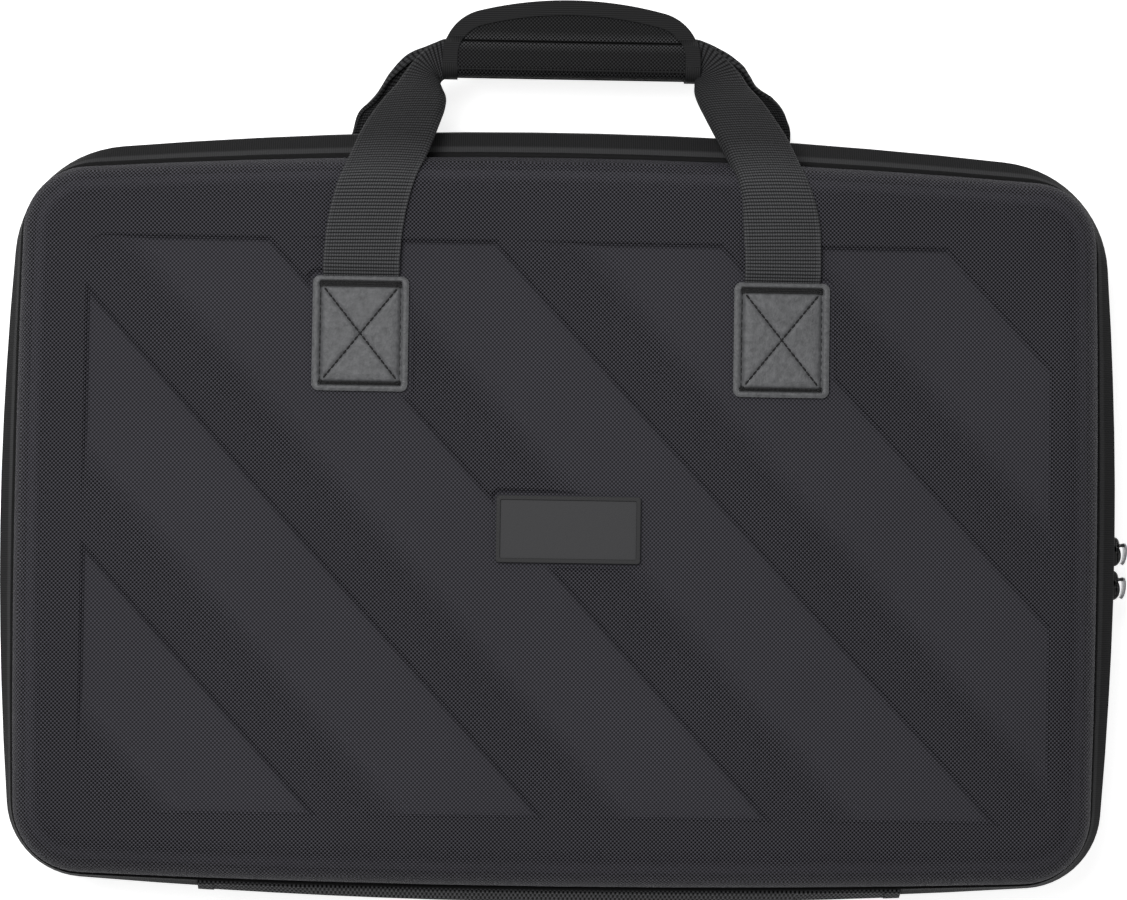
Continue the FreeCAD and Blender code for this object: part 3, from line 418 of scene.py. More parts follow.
bpy.ops.object.select_all(action="DESELECT")
bpy.ops.mesh.primitive_cube_add(size=1.0)
tooth = bpy.context.object
tooth.name = "tooth_model"
tooth.scale = (0.0015, 0.0024, 0.0031)
bpy.ops.object.transform_apply(scale=True)
rounding = tooth.modifiers.new("rounding", "BEVEL")
rounding.width = 0.0004
rounding.segments = 1
bpy.ops.object.modifier_apply(modifier="rounding")
bpy.ops.object.mode_set(mode="EDIT")
edit = bmesh.from_edit_mesh(tooth.data)
for vertex in edit.verts:
    vertex.select = vertex.co.z < -0.001
edit.select_flush_mode()
bmesh.update_edit_mesh(tooth.data)
bpy.ops.transform.resize(value=(1.25, 1.0, 1.0))
bpy.ops.object.mode_set(mode="OBJECT")

tooth_plastic, tree, shader, where = finish_of("tooth plastic", 0.5, 0.3)
grain = noise(tree, where["Object"], 900.0)
shade_between(tree, shader, (0.004, 0.004, 0.0045), (0.01, 0.01, 0.011), grain)
relief(tree, shader, grain, 0.00004)

tooth_pitch, tooth_inset, tooth_rise = 0.0031, 0.0036, 0.0014
for half, side, shift in (("front", 1, 0.0), ("rear", -1, tooth_pitch / 2)):
    frames = []
    for spot, ahead in spaced(rim_line(tooth_inset), tooth_pitch):
        spot = spot + ahead * shift
        if spot.y < -0.15 and abs(spot.x - hinge_shift) < hinge_half + 0.001:
            continue
        outward = Vector((ahead.y, -ahead.x, 0))
        frames.append((middle + Vector((spot.x, spot.y, side * tooth_rise)),
                       Vector((ahead.x, ahead.y, 0)), outward, Vector((0, 0, -side))))
    teeth = gathered(half + "_teeth", tooth, frames)
    if side > 0:
        face_outwards(teeth)
    teeth.data.materials.append(tooth_plastic)
    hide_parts(half + "_zip_chain")
    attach(teeth, "lid" if side > 0 else "base")
bpy.data.objects.remove(tooth)

# Fabric hinge
# A strip of coarse webbing, sewn to both lips, folds along the lower side. A small square of the
# same webbing is sewn over each of its ends.

webbing, tree, shader, where = finish_of("hinge webbing", 0.7, 0.12, 0.0)
laid = placed(tree, laid_over, Place=where["Object"], Normal=where["Normal"])
yarns = placed(tree, plain_weave, Flat=laid["Flat"], **{"Yarn X": 0.0011, "Yarn Y": 0.0017})
shade_between(tree, shader, (0.0, 0.0, 0.0), (0.118, 0.118, 0.123), yarns["Top"])
relief(tree, shader, yarns["Height"], 0.00045, 0.0006)
dress(webbing, "front_hinge_band", "rear_hinge_band", "front_hinge_tabs", "rear_hinge_tabs")

# Leatherette patches
# Grey grained leatherette, laid over the sewn-down end of each handle. A row of black thread runs
# round the patch and crosses it, and pulls it down to a groove above and below the webbing's end.

leather, tree, shader, where = finish_of("leatherette", 0.52, 0.3)
pebble = tree.nodes.new("ShaderNodeTexVoronoi")
pebble.feature = "SMOOTH_F1"
pebble.inputs["Scale"].default_value = 1100.0
tree.links.new(where["Object"], pebble.inputs["Vector"])
crinkle = noise(tree, where["Object"], 380.0, 4.0)
grain_height = sum_of(tree, "MULTIPLY_ADD", pebble.outputs["Distance"], -0.6, crinkle)
dye = placed(tree, uneven, Place=where["Object"], Spread=0.25)["Shade"]
# Painted shadow: the leatherette turns near black in the grooves at the patch's ends, from the shadow share
# stored on its corners.
groove_shade_node = tree.nodes.new("ShaderNodeAttribute")
groove_shade_node.attribute_name = "painted_groove_shade"
painted_groove_shade_factor = sum_of(tree, "MULTIPLY_ADD", groove_shade_node.outputs["Fac"], -0.93, 1.0)
shade_between(tree, shader, (0.043, 0.044, 0.046), (0.17, 0.172, 0.179), crinkle,
              sum_of(tree, "MULTIPLY", dye, painted_groove_shade_factor))
relief(tree, shader, grain_height, 0.00025)

thread, tree, shader, where = finish_of("black thread", 0.55, 0.3, 0.1)
twist = tree.nodes.new("ShaderNodeTexWave")
twist.bands_direction = "DIAGONAL"
twist.inputs["Scale"].default_value = 900.0
tree.links.new(where["Object"], twist.inputs["Vector"])
shade_between(tree, shader, (0.003, 0.003, 0.003), (0.011, 0.011, 0.012), twist.outputs["Fac"])
relief(tree, shader, twist.outputs["Fac"], 0.00008)

bpy.ops.object.select_all(action="DESELECT")
bpy.ops.mesh.primitive_uv_sphere_add(segments=8, ring_count=6, radius=0.5)
stitch = bpy.context.object
stitch.name = "stitch_model"
stitch.scale = (0.0032, 0.0012, 0.0008)
bpy.ops.object.transform_apply(scale=True)


def sewn_row(start, end, pitch, lift):
    """Frames for stitches along a straight row; lift gives the surface height at a point."""
    row = []
    length = (end - start).length
    count = max(1, round(length / pitch))
    ahead = (end - start) / length
    for k in range(count):
        spot = start + (end - start) * ((k + 0.5) / count)
        row.append((Vector((spot.x, spot.y, lift(spot))), Vector((ahead.x, ahead.y, 0)),
                    Vector((-ahead.y, ahead.x, 0)), Vector((0, 0, 1))))
    return row


patch_width, patch_length = 0.048, 0.0575
seam_x, seam_y = 0.0200, 0.0249


def patch_height(x, y):
    """How high the leatherette stands above the shell at a place on the patch."""
    edge = min(patch_width / 2 - abs(x), patch_length / 2 - abs(y))
    border = 0.0020 + 0.0005 * min(1.0, edge / 0.0012)
    inside = min(seam_x - abs(x), seam_y - abs(y))
    height = border
    if inside > 0:
        swell = min(1.0, inside / 0.005)
        height = 0.0022 + 0.0015 * math.sqrt(swell * (2 - swell))
    side_seam = math.exp(-((abs(x) - seam_x) / 0.0009) ** 2) * (abs(y) < seam_y + 0.0008)
    end_width = 0.0017 if y > 0 else 0.0011
    end_seam = math.exp(-((abs(y) - seam_y) / end_width) ** 4) * (abs(x) < seam_x + 0.0008)
    slope = seam_y / seam_x
    cross = abs(abs(y) - abs(x) * slope) / math.hypot(1, slope)
    cross_seam = math.exp(-(cross / 0.0009) ** 2) * (inside > 0)
    end_depth = 0.0006 if y > 0 else 0.0016
    return height - 0.0010 * side_seam - end_depth * end_seam - 0.0007 * cross_seam


def seam_shadow(x, y):
    """How much painted shadow a place on the patch gets in the dark groove at one of its ends."""
    width = 0.0018 if y > 0 else 0.0010
    return math.exp(-((abs(y) - seam_y) / width) ** 4) / (1 + math.exp((abs(x) - seam_x - 0.0003) / 0.0002))


bpy.ops.object.select_all(action="DESELECT")
bpy.ops.mesh.primitive_grid_add(x_subdivisions=96, y_subdivisions=114, size=1.0)
patch_model = bpy.context.object
patch_model.name = "patch_model"
patch_model.scale = (patch_width, patch_length, 1)
bpy.ops.object.transform_apply(scale=True)
corner_round = 0.0035
# Painted shadow: each corner stores how far it lies in the shaded groove at an end of the patch.
painted_groove_shade = patch_model.data.attributes.new("painted_groove_shade", "FLOAT", "POINT")
for vertex in patch_model.data.vertices:
    x, y = vertex.co.x, vertex.co.y
    vertex.co.z = patch_height(x, y)
    painted_groove_shade.data[vertex.index].value = seam_shadow(x, y)
    deep_x = abs(x) - (patch_width / 2 - corner_round)
    deep_y = abs(y) - (patch_length / 2 - corner_round)
    if deep_x > 0 and deep_y > 0:
        reach = math.hypot(deep_x, deep_y)
        pull = max(deep_x, deep_y) / reach
        vertex.co.x = math.copysign(patch_width / 2 - corner_round + deep_x * pull, x)
        vertex.co.y = math.copysign(patch_length / 2 - corner_round + deep_y * pull, y)
bpy.ops.object.mode_set(mode="EDIT")
bpy.ops.mesh.select_all(action="DESELECT")
bpy.ops.mesh.select_mode(type="EDGE")
bpy.ops.mesh.select_non_manifold()
bpy.ops.mesh.extrude_region_move(TRANSFORM_OT_translate={"value": (0, 0, -0.0019)})
bpy.ops.mesh.edge_face_add()
bpy.ops.mesh.select_all(action="SELECT")
bpy.ops.mesh.normals_make_consistent(inside=False)
bpy.ops.object.mode_set(mode="OBJECT")

for half, side, body in (("front", 1, "lid"), ("rear", -1, "base")):
    for hand in ("left", "right"):
        node = half + "_" + hand + "_patch"
        low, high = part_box(node)
        seat = Vector(((low.x + high.x) / 2, (low.y + high.y) / 2, low.z if side > 0 else high.z))
        patch = bpy.data.objects.new(node + "_leather", patch_model.data.copy())
        bpy.context.collection.objects.link(patch)
        for vertex in patch.data.vertices:
            vertex.co = seat + Vector((vertex.co.x, vertex.co.y, side * vertex.co.z))
        if side < 0:
            patch.data.flip_normals()
        alone(patch)
        bpy.ops.object.shade_smooth_by_angle(angle=math.radians(50))
        patch.data.materials.append(leather)
        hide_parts(node)
        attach(patch, body)

        a, b, c, d = [Vector(p) for p in ((-seam_x, -seam_y), (seam_x, -seam_y), (seam_x, seam_y),
                                          (-seam_x, seam_y))]
        rows = []
        beside = Vector((0, 0.0011))
        for start, end, pitch in ((a, b, 0.0022), (a + beside / 2, b + beside / 2, 0.0022), (b, c, 0.0038),
                                  (c, d, 0.0020), (c + beside, d + beside, 0.0020),
                                  (c - beside, d - beside, 0.0020), (d, a, 0.0038),
                                  (a, c, 0.0031), (b, d, 0.0031)):
            rows += sewn_row(start, end, pitch, lambda spot: patch_height(spot.x, spot.y) + 0.0001)
        rows = [(seat + Vector((o.x, o.y, side * o.z)), x_way, y_way, z_way * side)
                for o, x_way, y_way, z_way in rows]
        sewing = gathered(node + "_thread", stitch, rows)
        sewing.data.materials.append(thread)
        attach(sewing, body)
bpy.data.objects.remove(patch_model)
bpy.data.objects.remove(stitch)

# Badge
# A bare plate of soft grey rubber with a raised rim, glued to its pad in the middle of the relief.

rubber, tree, shader, where = finish_of("badge rubber", 0.6, 0.25)
speckle = noise(tree, where["Object"], 1600.0)
badge_rim = 0.0022
badge_low, badge_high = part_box("badge")
badge_x, badge_y = split(tree, where["Object"])[:2]
off_x = sum_of(tree, "ABSOLUTE", sum_of(tree, "SUBTRACT", badge_x, (badge_low.x + badge_high.x) / 2))
off_y = sum_of(tree, "ABSOLUTE", sum_of(tree, "SUBTRACT", badge_y, (badge_low.y + badge_high.y) / 2))
inside_rim = sum_of(tree, "MINIMUM", sum_of(tree, "SUBTRACT", (badge_high.x - badge_low.x) / 2, off_x),
                    sum_of(tree, "SUBTRACT", (badge_high.y - badge_low.y) / 2, off_y))
face_share = sum_of(tree, "GREATER_THAN", inside_rim, badge_rim)
shade_between(tree, shader, (0.024, 0.024, 0.025), (0.0425, 0.0425, 0.0448),
              sum_of(tree, "MULTIPLY_ADD", face_share, 0.8, sum_of(tree, "MULTIPLY", speckle, 0.3)))
relief(tree, shader, speckle, 0.00006, 0.0005)
dress(rubber, "badge")

# Handle straps
# Two loops of 38 mm webbing. Each is sewn under its patches, lies over the rounded edge of its
# shell, narrows as it folds over on itself, and turns into the grip.

# Left and right edge of each leg as the photo shows them, in its pixels, from the patch to the grip,
# and how far the leg is rolled up there
leg_edges = {
    ("front", "left"): (
        (324.1, 249, 401.6, 249, 0), (326.5, 228, 403.6, 228, 0), (331, 205, 408.7, 205, 0),
        (338.4, 180, 416, 180, 0), (350, 156, 425, 156, 0), (359.4, 135.4, 433, 135.4, 0),
        (370, 117, 440.5, 114, 0), (384, 98, 444.7, 96, 0), (398, 83, 441.5, 87, 0.15),
        (411, 66, 438.5, 82, 0.5), (424, 52.5, 437.5, 79.5, 0.85), (434, 45.5, 442, 78, 1),
        (446, 40.5, 448, 76.5, 1), (456, 43, 456, 74, 1)),
    ("front", "right"): (
        (744.8, 250, 820.7, 250, 0), (744.9, 228, 819.4, 228, 0), (744.4, 205, 815.2, 205, 0),
        (740, 181, 807.3, 181, 0), (732, 161, 797.5, 160.5, 0), (721, 138.5, 787, 138.5, 0),
        (711, 120, 775, 119.5, 0), (702.2, 102.7, 762, 101.5, 0), (696.5, 90, 749, 88, 0.15),
        (696, 84, 735, 70, 0.5), (696, 80.5, 720, 56, 0.85), (695.5, 79, 707, 45, 1),
        (693.5, 77, 695, 41, 1), (686, 74, 686, 43, 1)),
    ("rear", "left"): (
        (351.7, 136, 425, 136, 0), (359.4, 113, 428, 113, 0), (369, 102.5, 432, 100, 0),
        (379, 91.5, 436, 94, 0.1), (389.6, 75, 438, 88, 0.25), (400, 63, 439, 84, 0.5),
        (411, 54, 440, 81, 0.75), (426, 48, 442, 79, 1), (436, 44, 445, 77.5, 1),
        (446, 40.5, 448, 76.5, 1), (456, 43, 456, 74, 1)),
    ("rear", "right"): (
        (716, 139.7, 790.4, 139.7, 0), (708, 120, 786.6, 119.9, 0), (702, 106, 780.6, 107.8, 0),
        (698, 98, 770.2, 97.5, 0.1), (697, 92, 755.6, 87.2, 0.25), (696.5, 87, 747.8, 75.1, 0.5),
        (696, 84, 740.9, 65.6, 0.7), (696, 81, 727, 55, 1), (695.5, 79, 710, 46, 1),
        (693.5, 77, 695, 41, 1), (686, 74, 686, 43, 1)),
}
# Where the rear legs run straight up behind the bag, out of the photo's sight
hidden_centre = {"left": -0.0996, "right": 0.0987}
hidden_levels = (0.136, 0.150, 0.163, 0.177)
web_width, web_thick = 0.038, 0.0018
web_flat, edge_y, edge_level, bundle_level = 0.0519, 0.162, 0.030, 0.0029
bundle_y = 0.2278 + 0.003 + 0.0004 + 0.0066
patch_low, patch_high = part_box("front_left_patch")
patch_end_y = patch_high.y - middle.y


def web_height(y):
    """How far out of the mid-plane the webbing lies: flat, round the edge, then straight."""
    reach = web_flat - edge_level
    run, fall = bundle_y - edge_y, bundle_level - edge_level
    leave = math.atan2(run, fall) - math.acos(reach / math.hypot(run, fall))
    leave_at = edge_y + reach * math.sin(leave)
    if y <= edge_y:
        return web_flat
    if y <= leave_at:
        return edge_level + math.sqrt(reach ** 2 - (y - edge_y) ** 2)
    return max(bundle_level, edge_level + reach * math.cos(leave) - (y - leave_at) * math.tan(leave))


def seen_at(pixel_x, pixel_y, side, gather):
    """Where a pixel of the photo meets a leg, across and up from the middle of the bag, to a tenth
    of a millimetre: the leg's own level there is found by trying."""
    scale = camera.data.lens / camera.data.sensor_width * photo_width
    sight = camera.rotation_euler.to_matrix() @ Vector(
        ((pixel_x - photo_width / 2) / scale, (photo_height / 2 - pixel_y) / scale, -1.0))
    level = edge_level
    for attempt in range(30):
        distance = (side * level - camera_offset.z) / sight.z
        x, y = camera_offset.x + sight.x * distance, camera_offset.y + sight.y * distance
        level = web_height(y)
        level += (bundle_level - level) * gather
    return round(x, 4), round(y, 4)


def leg_rows(half, hand):
    """The places of a leg's left and right edge, and how far it is rolled up."""
    side = 1 if half == "front" else -1
    rows = []
    if half == "rear":
        left, right = hidden_centre[hand] - web_width / 2, hidden_centre[hand] + web_width / 2
        rows = [((left, y), (right, y), 0.0) for y in hidden_levels]
    return rows + [(seen_at(left_x, left_y, side, gather), seen_at(right_x, right_y, side, gather), gather)
                   for left_x, left_y, right_x, right_y, gather in leg_edges[half, hand]]


def smooth_through(points, place):
    """A point on the smooth curve through a row of points."""
    k = min(int(place), len(points) - 2)
    t = place - k
    a = points[max(k - 1, 0)]
    b, c = points[k], points[k + 1]
    d = points[min(k + 2, len(points) - 1)]
    return (b * 2 + (c - a) * t + (a * 2 - b * 5 + c * 4 - d) * t ** 2
            + (b * 3 - a - c * 3 + d) * t ** 3) * 0.5


strap_cloth, tree, shader, where = finish_of("handle webbing", 0.65, 0.1, 0.0)
across_u, along_v = split(tree, where["UV"])[:2]
warp = sum_of(tree, "ABSOLUTE", sum_of(tree, "SINE", sum_of(tree, "MULTIPLY", across_u, math.pi / 0.00125)))
weft = sum_of(tree, "ABSOLUTE", sum_of(tree, "SINE", sum_of(tree, "MULTIPLY", along_v, math.pi / 0.00172)))
rib = sum_of(tree, "MULTIPLY", weft, sum_of(tree, "MULTIPLY_ADD", warp, 0.6, 0.4))
from_middle = sum_of(tree, "ABSOLUTE", sum_of(tree, "SUBTRACT", split(tree, where["Object"])[2], middle.z))
# Painted shade: the webbing darkens, to 0.55 of its tone, where it leaves the flat face and bends down round
# the shell's edge.
painted_bend_shade = ramp(tree, from_middle, 0.036, 0.051, 0.55)
near_edge = ramp(tree, sum_of(tree, "ABSOLUTE", across_u), 0.0165, 0.0178)
dye = placed(tree, uneven, Place=where["Object"], Spread=0.25)["Shade"]
shade_between(tree, shader, (0.0, 0.0, 0.0), (0.100, 0.101, 0.105),
              sum_of(tree, "MULTIPLY_ADD", near_edge, 0.1, rib),
              sum_of(tree, "MULTIPLY", dye, painted_bend_shade))
relief(tree, shader, sum_of(tree, "ADD", rib, near_edge), 0.0004)

across_count = 39


def strap_leg(half, hand):
    """The sections of one leg from under its patch to the mouth of the grip."""
    side = 1 if half == "front" else -1
    low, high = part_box(half + "_" + hand + "_patch")
    base_x = (low.x + high.x) / 2 - middle.x
    lefts, rights, gathers = [], [], []
    foot = ((patch_end_y - 0.012, 0.0484), (patch_end_y - 0.001, 0.0484), (patch_end_y + 0.0022, 0.0502),
            (patch_end_y + 0.006, 0.0517))
    for y, level in foot:
        lefts.append(Vector((base_x - web_width / 2, y, level)))
        rights.append(Vector((base_x + web_width / 2, y, level)))
        gathers.append(0.0)
    for left_place, right_place, gather in leg_rows(half, hand):
        for edge, (x, y) in ((lefts, left_place), (rights, right_place)):
            level = web_height(y)
            edge.append(Vector((x, y, level + (bundle_level - level) * gather)))
        gathers.append(gather)
    sections = []
    steps = 6
    travelled = 0.0
    before = None
    for k in range((len(lefts) - 1) * steps + 1):
        place = k / steps
        left, right = smooth_through(lefts, place), smooth_through(rights, place)
        row = min(int(place), len(gathers) - 2)
        gather = gathers[row] + (gathers[row + 1] - gathers[row]) * (place - row)
        centre = (left + right) / 2
        if before is not None:
            travelled += (centre - before).length
        before = centre
        sections.append((left, right, gather, travelled))
    return side, sections


def rolled_edge(spare, radius, run):
    """Where a point lies in from the strap's edge and below its face, once that edge is rolled under
    to lose some width; run is its distance from the edge along the cloth."""
    turn = min(math.pi, spare / radius + 1)
    if spare < radius * (math.pi / 2 - 1):
        turn = min(math.pi / 2, (6 * max(spare, 0) / radius) ** (1 / 3))
    reach = radius * math.sin(min(turn, math.pi / 2))
    curled = radius * turn + max(0.0, spare - radius * (math.pi - 1))
    if run >= curled:
        return reach + run - curled, 0.0
    back = curled - run
    if back <= radius * turn:
        return reach - radius * math.sin(back / radius), radius * (1 - math.cos(back / radius))
    return reach + back - radius * turn, 2 * radius


def strap_piece(half, hand):
    """A webbing leg as a closed ribbon with its own map in metres."""
    side, sections = strap_leg(half, hand)
    bpy.ops.object.select_all(action="DESELECT")
    bpy.ops.mesh.primitive_grid_add(x_subdivisions=across_count - 1, y_subdivisions=len(sections) - 1,
                                    size=1.0)
    piece = bpy.context.object
    piece.name = half + "_" + hand + "_handle_webbing"
    places = {}
    for vertex in piece.data.vertices:
        u = vertex.co.x + 0.5
        k = round((vertex.co.y + 0.5) * (len(sections) - 1))
        left, right, gather, travelled = sections[k]
        later = sections[min(k + 1, len(sections) - 1)]
        earlier = sections[max(k - 1, 0)]
        ahead = ((later[0] + later[1]) - (earlier[0] + earlier[1])).normalized()
        across = right - left
        outward = across.cross(ahead).normalized()
        width = min(across.length, web_width)
        spare = web_width - width
        inner_u = u if hand == "right" else 1 - u
        inner_radius = 0.0034 - 0.0020 * gather
        outer_radius = 0.0022 - 0.0008 * gather
        if inner_u < 0.5:
            from_edge, sunk = rolled_edge(0.7 * spare, inner_radius, inner_u * web_width)
        else:
            from_edge, sunk = rolled_edge(0.3 * spare, outer_radius, (1 - inner_u) * web_width)
            from_edge = width - from_edge
        from_left = from_edge if hand == "right" else width - from_edge
        free = min(1.0, max(0.0, (travelled - 0.016) / 0.02)) * (1 - gather)
        crown = 0.0012 * math.sin(math.pi * min(1.0, max(0.0, from_left / width))) * free
        start = left if hand == "left" else right - across.normalized() * width
        spot = start + across.normalized() * from_left + outward * (inner_radius * gather + crown - sunk)
        vertex.co = middle + Vector((spot.x, spot.y, side * spot.z))
        places[vertex.index] = ((u - 0.5) * web_width, travelled)
    sheet = piece.data.uv_layers.active or piece.data.uv_layers.new(name="webbing")
    for loop in piece.data.loops:
        sheet.data[loop.index].uv = places[loop.vertex_index]
    thick = piece.modifiers.new("thickness", "SOLIDIFY")
    thick.thickness = web_thick
    thick.offset = 0.0
    alone(piece)
    bpy.ops.object.modifier_apply(modifier="thickness")
    face_outwards(piece)
    bpy.ops.object.shade_smooth_by_angle(angle=math.radians(50))
    piece.data.materials.append(strap_cloth)
    return piece


for half, body in (("front", "lid"), ("rear", "base")):
    legs = [strap_piece(half, hand) for hand in ("left", "right")]
    for leg in legs:
        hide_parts(half + "_handle_strap")
        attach(leg, body)

# Padded grip
# Two leaves of foam in ballistic nylon close round the handles, with hook and loop strips between
# their fins. Grosgrain binds the ends and the arched top edge.


def merged_copy(node, name):
    """A copy of a CAD piece with its loose triangles joined."""
    piece = bpy.data.objects.new(name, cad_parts[node].data.copy())
    bpy.context.collection.objects.link(piece)
    piece.data.materials.clear()
    alone(piece)
    bpy.ops.object.mode_set(mode="EDIT")
    bpy.ops.mesh.select_all(action="SELECT")
    bpy.ops.mesh.remove_doubles(threshold=0.00001)
    bpy.ops.object.mode_set(mode="OBJECT")
    return piece


grip_cloth, tree, shader, where = finish_of("grip nylon", 0.65, 0.12, 0.0)
laid = placed(tree, laid_over, Place=where["Object"], Normal=where["Normal"])
yarns = placed(tree, plain_weave, Flat=laid["Flat"], **{"Yarn X": 0.00095, "Yarn Y": 0.00095})
from_crease = sum_of(tree, "ABSOLUTE", sum_of(tree, "SUBTRACT", split(tree, where["Object"])[1],
                                                middle.y + 0.2461))
# Painted shade and highlight: a dark line about 1 mm wide along the crease where the fin begins, and lighter
# bands out to 5.5 mm either side of it.
painted_crease_shade = ramp(tree, from_crease, 0.0004, 0.0012)
painted_crease_highlight = ramp(tree, from_crease, 0.0055, 0.0015)
shade_between(tree, shader, (0.0, 0.0, 0.0), (0.044, 0.044, 0.046),
              sum_of(tree, "MULTIPLY", yarns["Top"], painted_crease_shade),
              sum_of(tree, "MULTIPLY_ADD", painted_crease_highlight, 0.9, 0.85))
relief(tree, shader, yarns["Height"], 0.0004)

for half, body in (("front", "lid"), ("rear", "base")):
    pad = merged_copy(half + "_grip_pad", half + "_grip_padding")
    remesh = pad.modifiers.new("even", "REMESH")
    remesh.mode = "VOXEL"
    remesh.voxel_size = 0.0012
    bpy.ops.object.modifier_apply(modifier="even")
    ease = pad.modifiers.new("ease", "SMOOTH")
    ease.iterations = 8
    ease.factor = 0.5
    bpy.ops.object.modifier_apply(modifier="ease")
    pad.data.shade_smooth()
    pad.data.materials.append(grip_cloth)
    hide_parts(half + "_grip_pad")
    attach(pad, body)

napped, tree, shader, where = finish_of("hook and loop", 0.95, 0.1, 0.3)
nap = noise(tree, where["Object"], 2500.0)
shade_between(tree, shader, (0.006, 0.006, 0.006), (0.024, 0.024, 0.025), nap)
relief(tree, shader, nap, 0.0006)
dress(napped, "grip_loop_strip", "grip_hook_strip")

# Foam pads
# A pad of convoluted foam fills the floor of each half, with rows of soft points that hold the
# controller from both sides.

foam, tree, shader, where = finish_of("open foam", 0.95, 0.1, 0.2)
cells = tree.nodes.new("ShaderNodeTexVoronoi")
cells.inputs["Scale"].default_value = 1500.0
tree.links.new(where["Object"], cells.inputs["Vector"])
shade_between(tree, shader, (0.012, 0.012, 0.013), (0.045, 0.045, 0.048), cells.outputs["Distance"])
relief(tree, shader, cells.outputs["Distance"], 0.0004)

point_pitch, point_depth = 0.026, 0.009
for node, side, body in (("lid_foam", 1, "lid"), ("base_foam", -1, "base")):
    pad = merged_copy(node, node + "_points")
    low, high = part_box(node)
    bed = low.z if side > 0 else high.z
    remesh = pad.modifiers.new("even", "REMESH")
    remesh.mode = "VOXEL"
    remesh.voxel_size = 0.0034
    bpy.ops.object.modifier_apply(modifier="even")
    for vertex in pad.data.vertices:
        near = 1.0 - min(1.0, abs(vertex.co.z - bed) / 0.004)
        edge = min(vertex.co.x - low.x, high.x - vertex.co.x, vertex.co.y - low.y, high.y - vertex.co.y)
        inner = max(0.0, min(1.0, (edge - 0.006) / 0.02))
        swing = math.sin(math.pi * vertex.co.x / point_pitch) * math.sin(math.pi * vertex.co.y / point_pitch)
        vertex.co.z += side * point_depth * near * inner * (0.5 + 0.5 * swing)
    pad.data.shade_smooth()
    pad.data.materials.append(foam)
    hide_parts(node)
    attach(pad, body)

# Zip sliders and pullers
# Two cast sliders in black enamel ride on the teeth of the right side, each with a bowed strip of
# bright gunmetal hung from its pin.

enamel, tree, shader, where = finish_of("black enamel", 0.16, 0.6)
wear = noise(tree, where["Object"], 500.0)
shade_between(tree, shader, (0.006, 0.006, 0.006), (0.014, 0.014, 0.015), wear)
relief(tree, shader, wear, 0.00005, 0.0004)

gunmetal, tree, shader, where = finish_of("gunmetal wire", 0.28, 0.5)
shader.inputs["Metallic"].default_value = 1.0
scuff = noise(tree, where["Object"], 700.0)
shade_between(tree, shader, (0.3, 0.3, 0.31), (0.52, 0.52, 0.54), scuff)
relief(tree, shader, scuff, 0.00004, 0.0006)

neck_half = 0.0023
pin_radius, pin_length = 0.0005, 0.0072
bow_width, bow_thick = 0.0062, 0.0013
# The bow's middle line, in millimetres across and up from the pin
bow_path = ((-0.1, 0.2), (0.35, 0.55), (1.0, 0.1), (1.4, -2.2), (1.25, -5.2), (0.5, -8.2), (-0.4, -9.6))

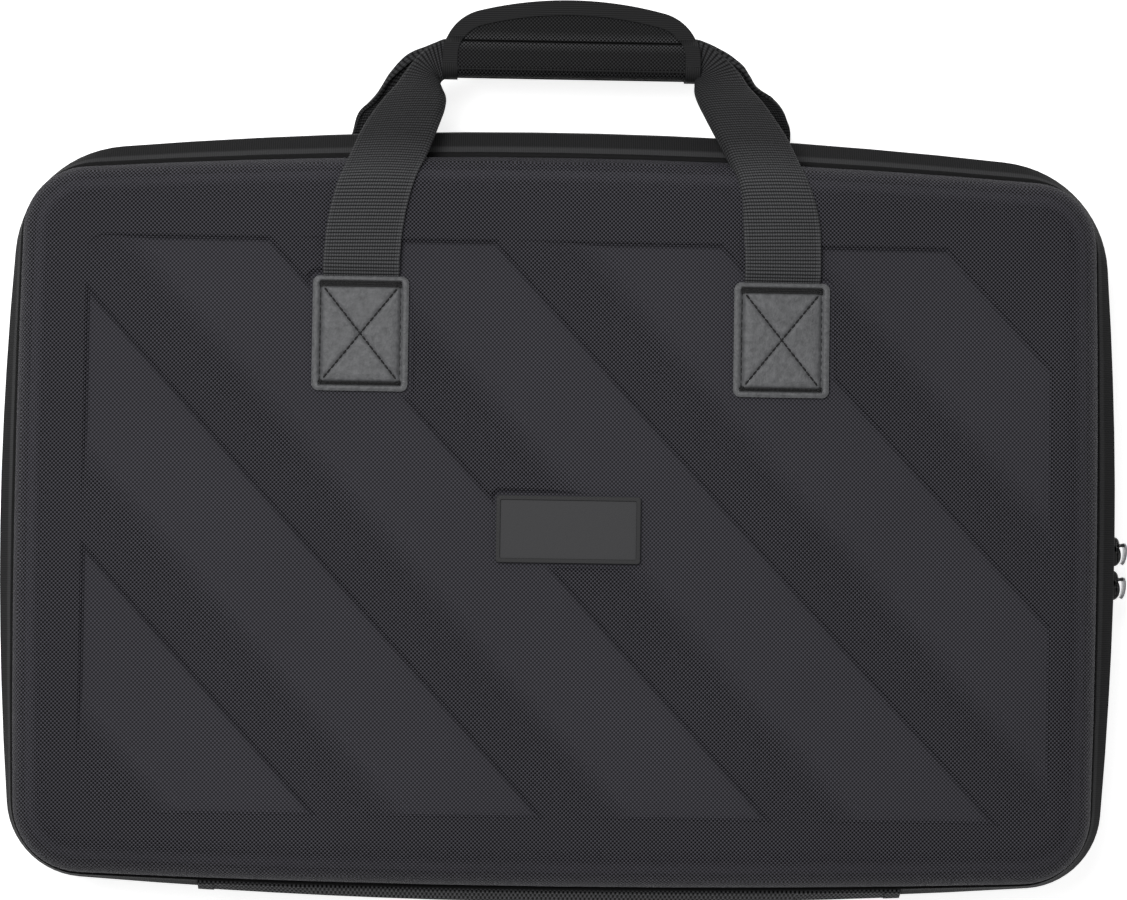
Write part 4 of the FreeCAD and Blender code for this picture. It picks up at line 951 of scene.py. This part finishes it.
for name in ("upper", "lower"):
    body_low, body_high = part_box(name + "_slider")
    wire_low, wire_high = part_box(name + "_puller")
    pivot = Vector((wire_low.x + 0.00096, wire_high.y - 0.0008, middle.z))
    core_x = pivot.x - 0.0040
    lip_x = body_high.x - 0.0051
    solids = []
    for centre_y, half_y, half_x, half_z in ((body_high.y - 0.0044, 0.0044, 0.0027, 0.0038),
                                             (body_low.y + 0.0056, 0.0056, 0.0034, 0.0045)):
        bpy.ops.object.select_all(action="DESELECT")
        bpy.ops.mesh.primitive_uv_sphere_add(segments=32, ring_count=20, radius=1.0)
        for vertex in bpy.context.object.data.vertices:
            spot = Vector((core_x + vertex.co.x * half_x, centre_y + vertex.co.y * half_y,
                           vertex.co.z * half_z))
            neck = neck_half if spot.x < lip_x else half_z
            vertex.co = Vector((spot.x, spot.y, middle.z + max(-neck, min(neck, spot.z))))
        solids.append(bpy.context.object)
    for side in (-1, 1):
        bpy.ops.object.select_all(action="DESELECT")
        bpy.ops.mesh.primitive_cube_add(size=1.0)
        for vertex in bpy.context.object.data.vertices:
            vertex.co = Vector((pivot.x - 0.0008 + vertex.co.x * 0.0030, pivot.y + vertex.co.y * 0.0016,
                                middle.z + side * 0.0036 + vertex.co.z * 0.0008))
        solids.append(bpy.context.object)
    bpy.ops.object.select_all(action="DESELECT")
    bpy.ops.mesh.primitive_cylinder_add(vertices=16, radius=pin_radius, depth=pin_length)
    for vertex in bpy.context.object.data.vertices:
        vertex.co = vertex.co + pivot
    solids.append(bpy.context.object)
    for solid in solids:
        solid.select_set(True)
    bpy.context.view_layer.objects.active = solids[0]
    bpy.ops.object.join()
    body = bpy.context.object
    body.name = name + "_slider_casting"
    rounding = body.modifiers.new("rounding", "BEVEL")
    rounding.width = 0.0003
    rounding.segments = 2
    alone(body)
    bpy.ops.object.modifier_apply(modifier="rounding")
    bpy.ops.object.shade_smooth_by_angle(angle=math.radians(50))
    body.data.materials.append(enamel)
    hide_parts(name + "_slider")
    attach(body, name + "_slider")

    bow = [pivot + Vector((x, y, 0)) / 1000 for x, y in bow_path]
    bpy.ops.object.select_all(action="DESELECT")
    bpy.ops.mesh.primitive_grid_add(x_subdivisions=4, y_subdivisions=36, size=1.0)
    pull = bpy.context.object
    pull.name = name + "_puller_bow"
    for vertex in pull.data.vertices:
        share = vertex.co.y + 0.5
        place = smooth_through(bow, share * (len(bow) - 1))
        wide = bow_width * (1 - 0.3 * (2 * share - 1) ** 2)
        vertex.co = Vector((place.x, place.y, middle.z + vertex.co.x * wide))
    for kind, values in (("SOLIDIFY", {"thickness": bow_thick, "offset": 0.0}),
                         ("BEVEL", {"width": 0.0004, "segments": 3})):
        step = pull.modifiers.new(kind.lower(), kind)
        for key, value in values.items():
            setattr(step, key, value)
        alone(pull)
        bpy.ops.object.modifier_apply(modifier=step.name)
    face_outwards(pull)
    bpy.ops.object.shade_smooth_by_angle(angle=math.radians(50))
    pull.data.materials.append(gunmetal)
    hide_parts(name + "_puller")
    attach(pull, name + "_puller")
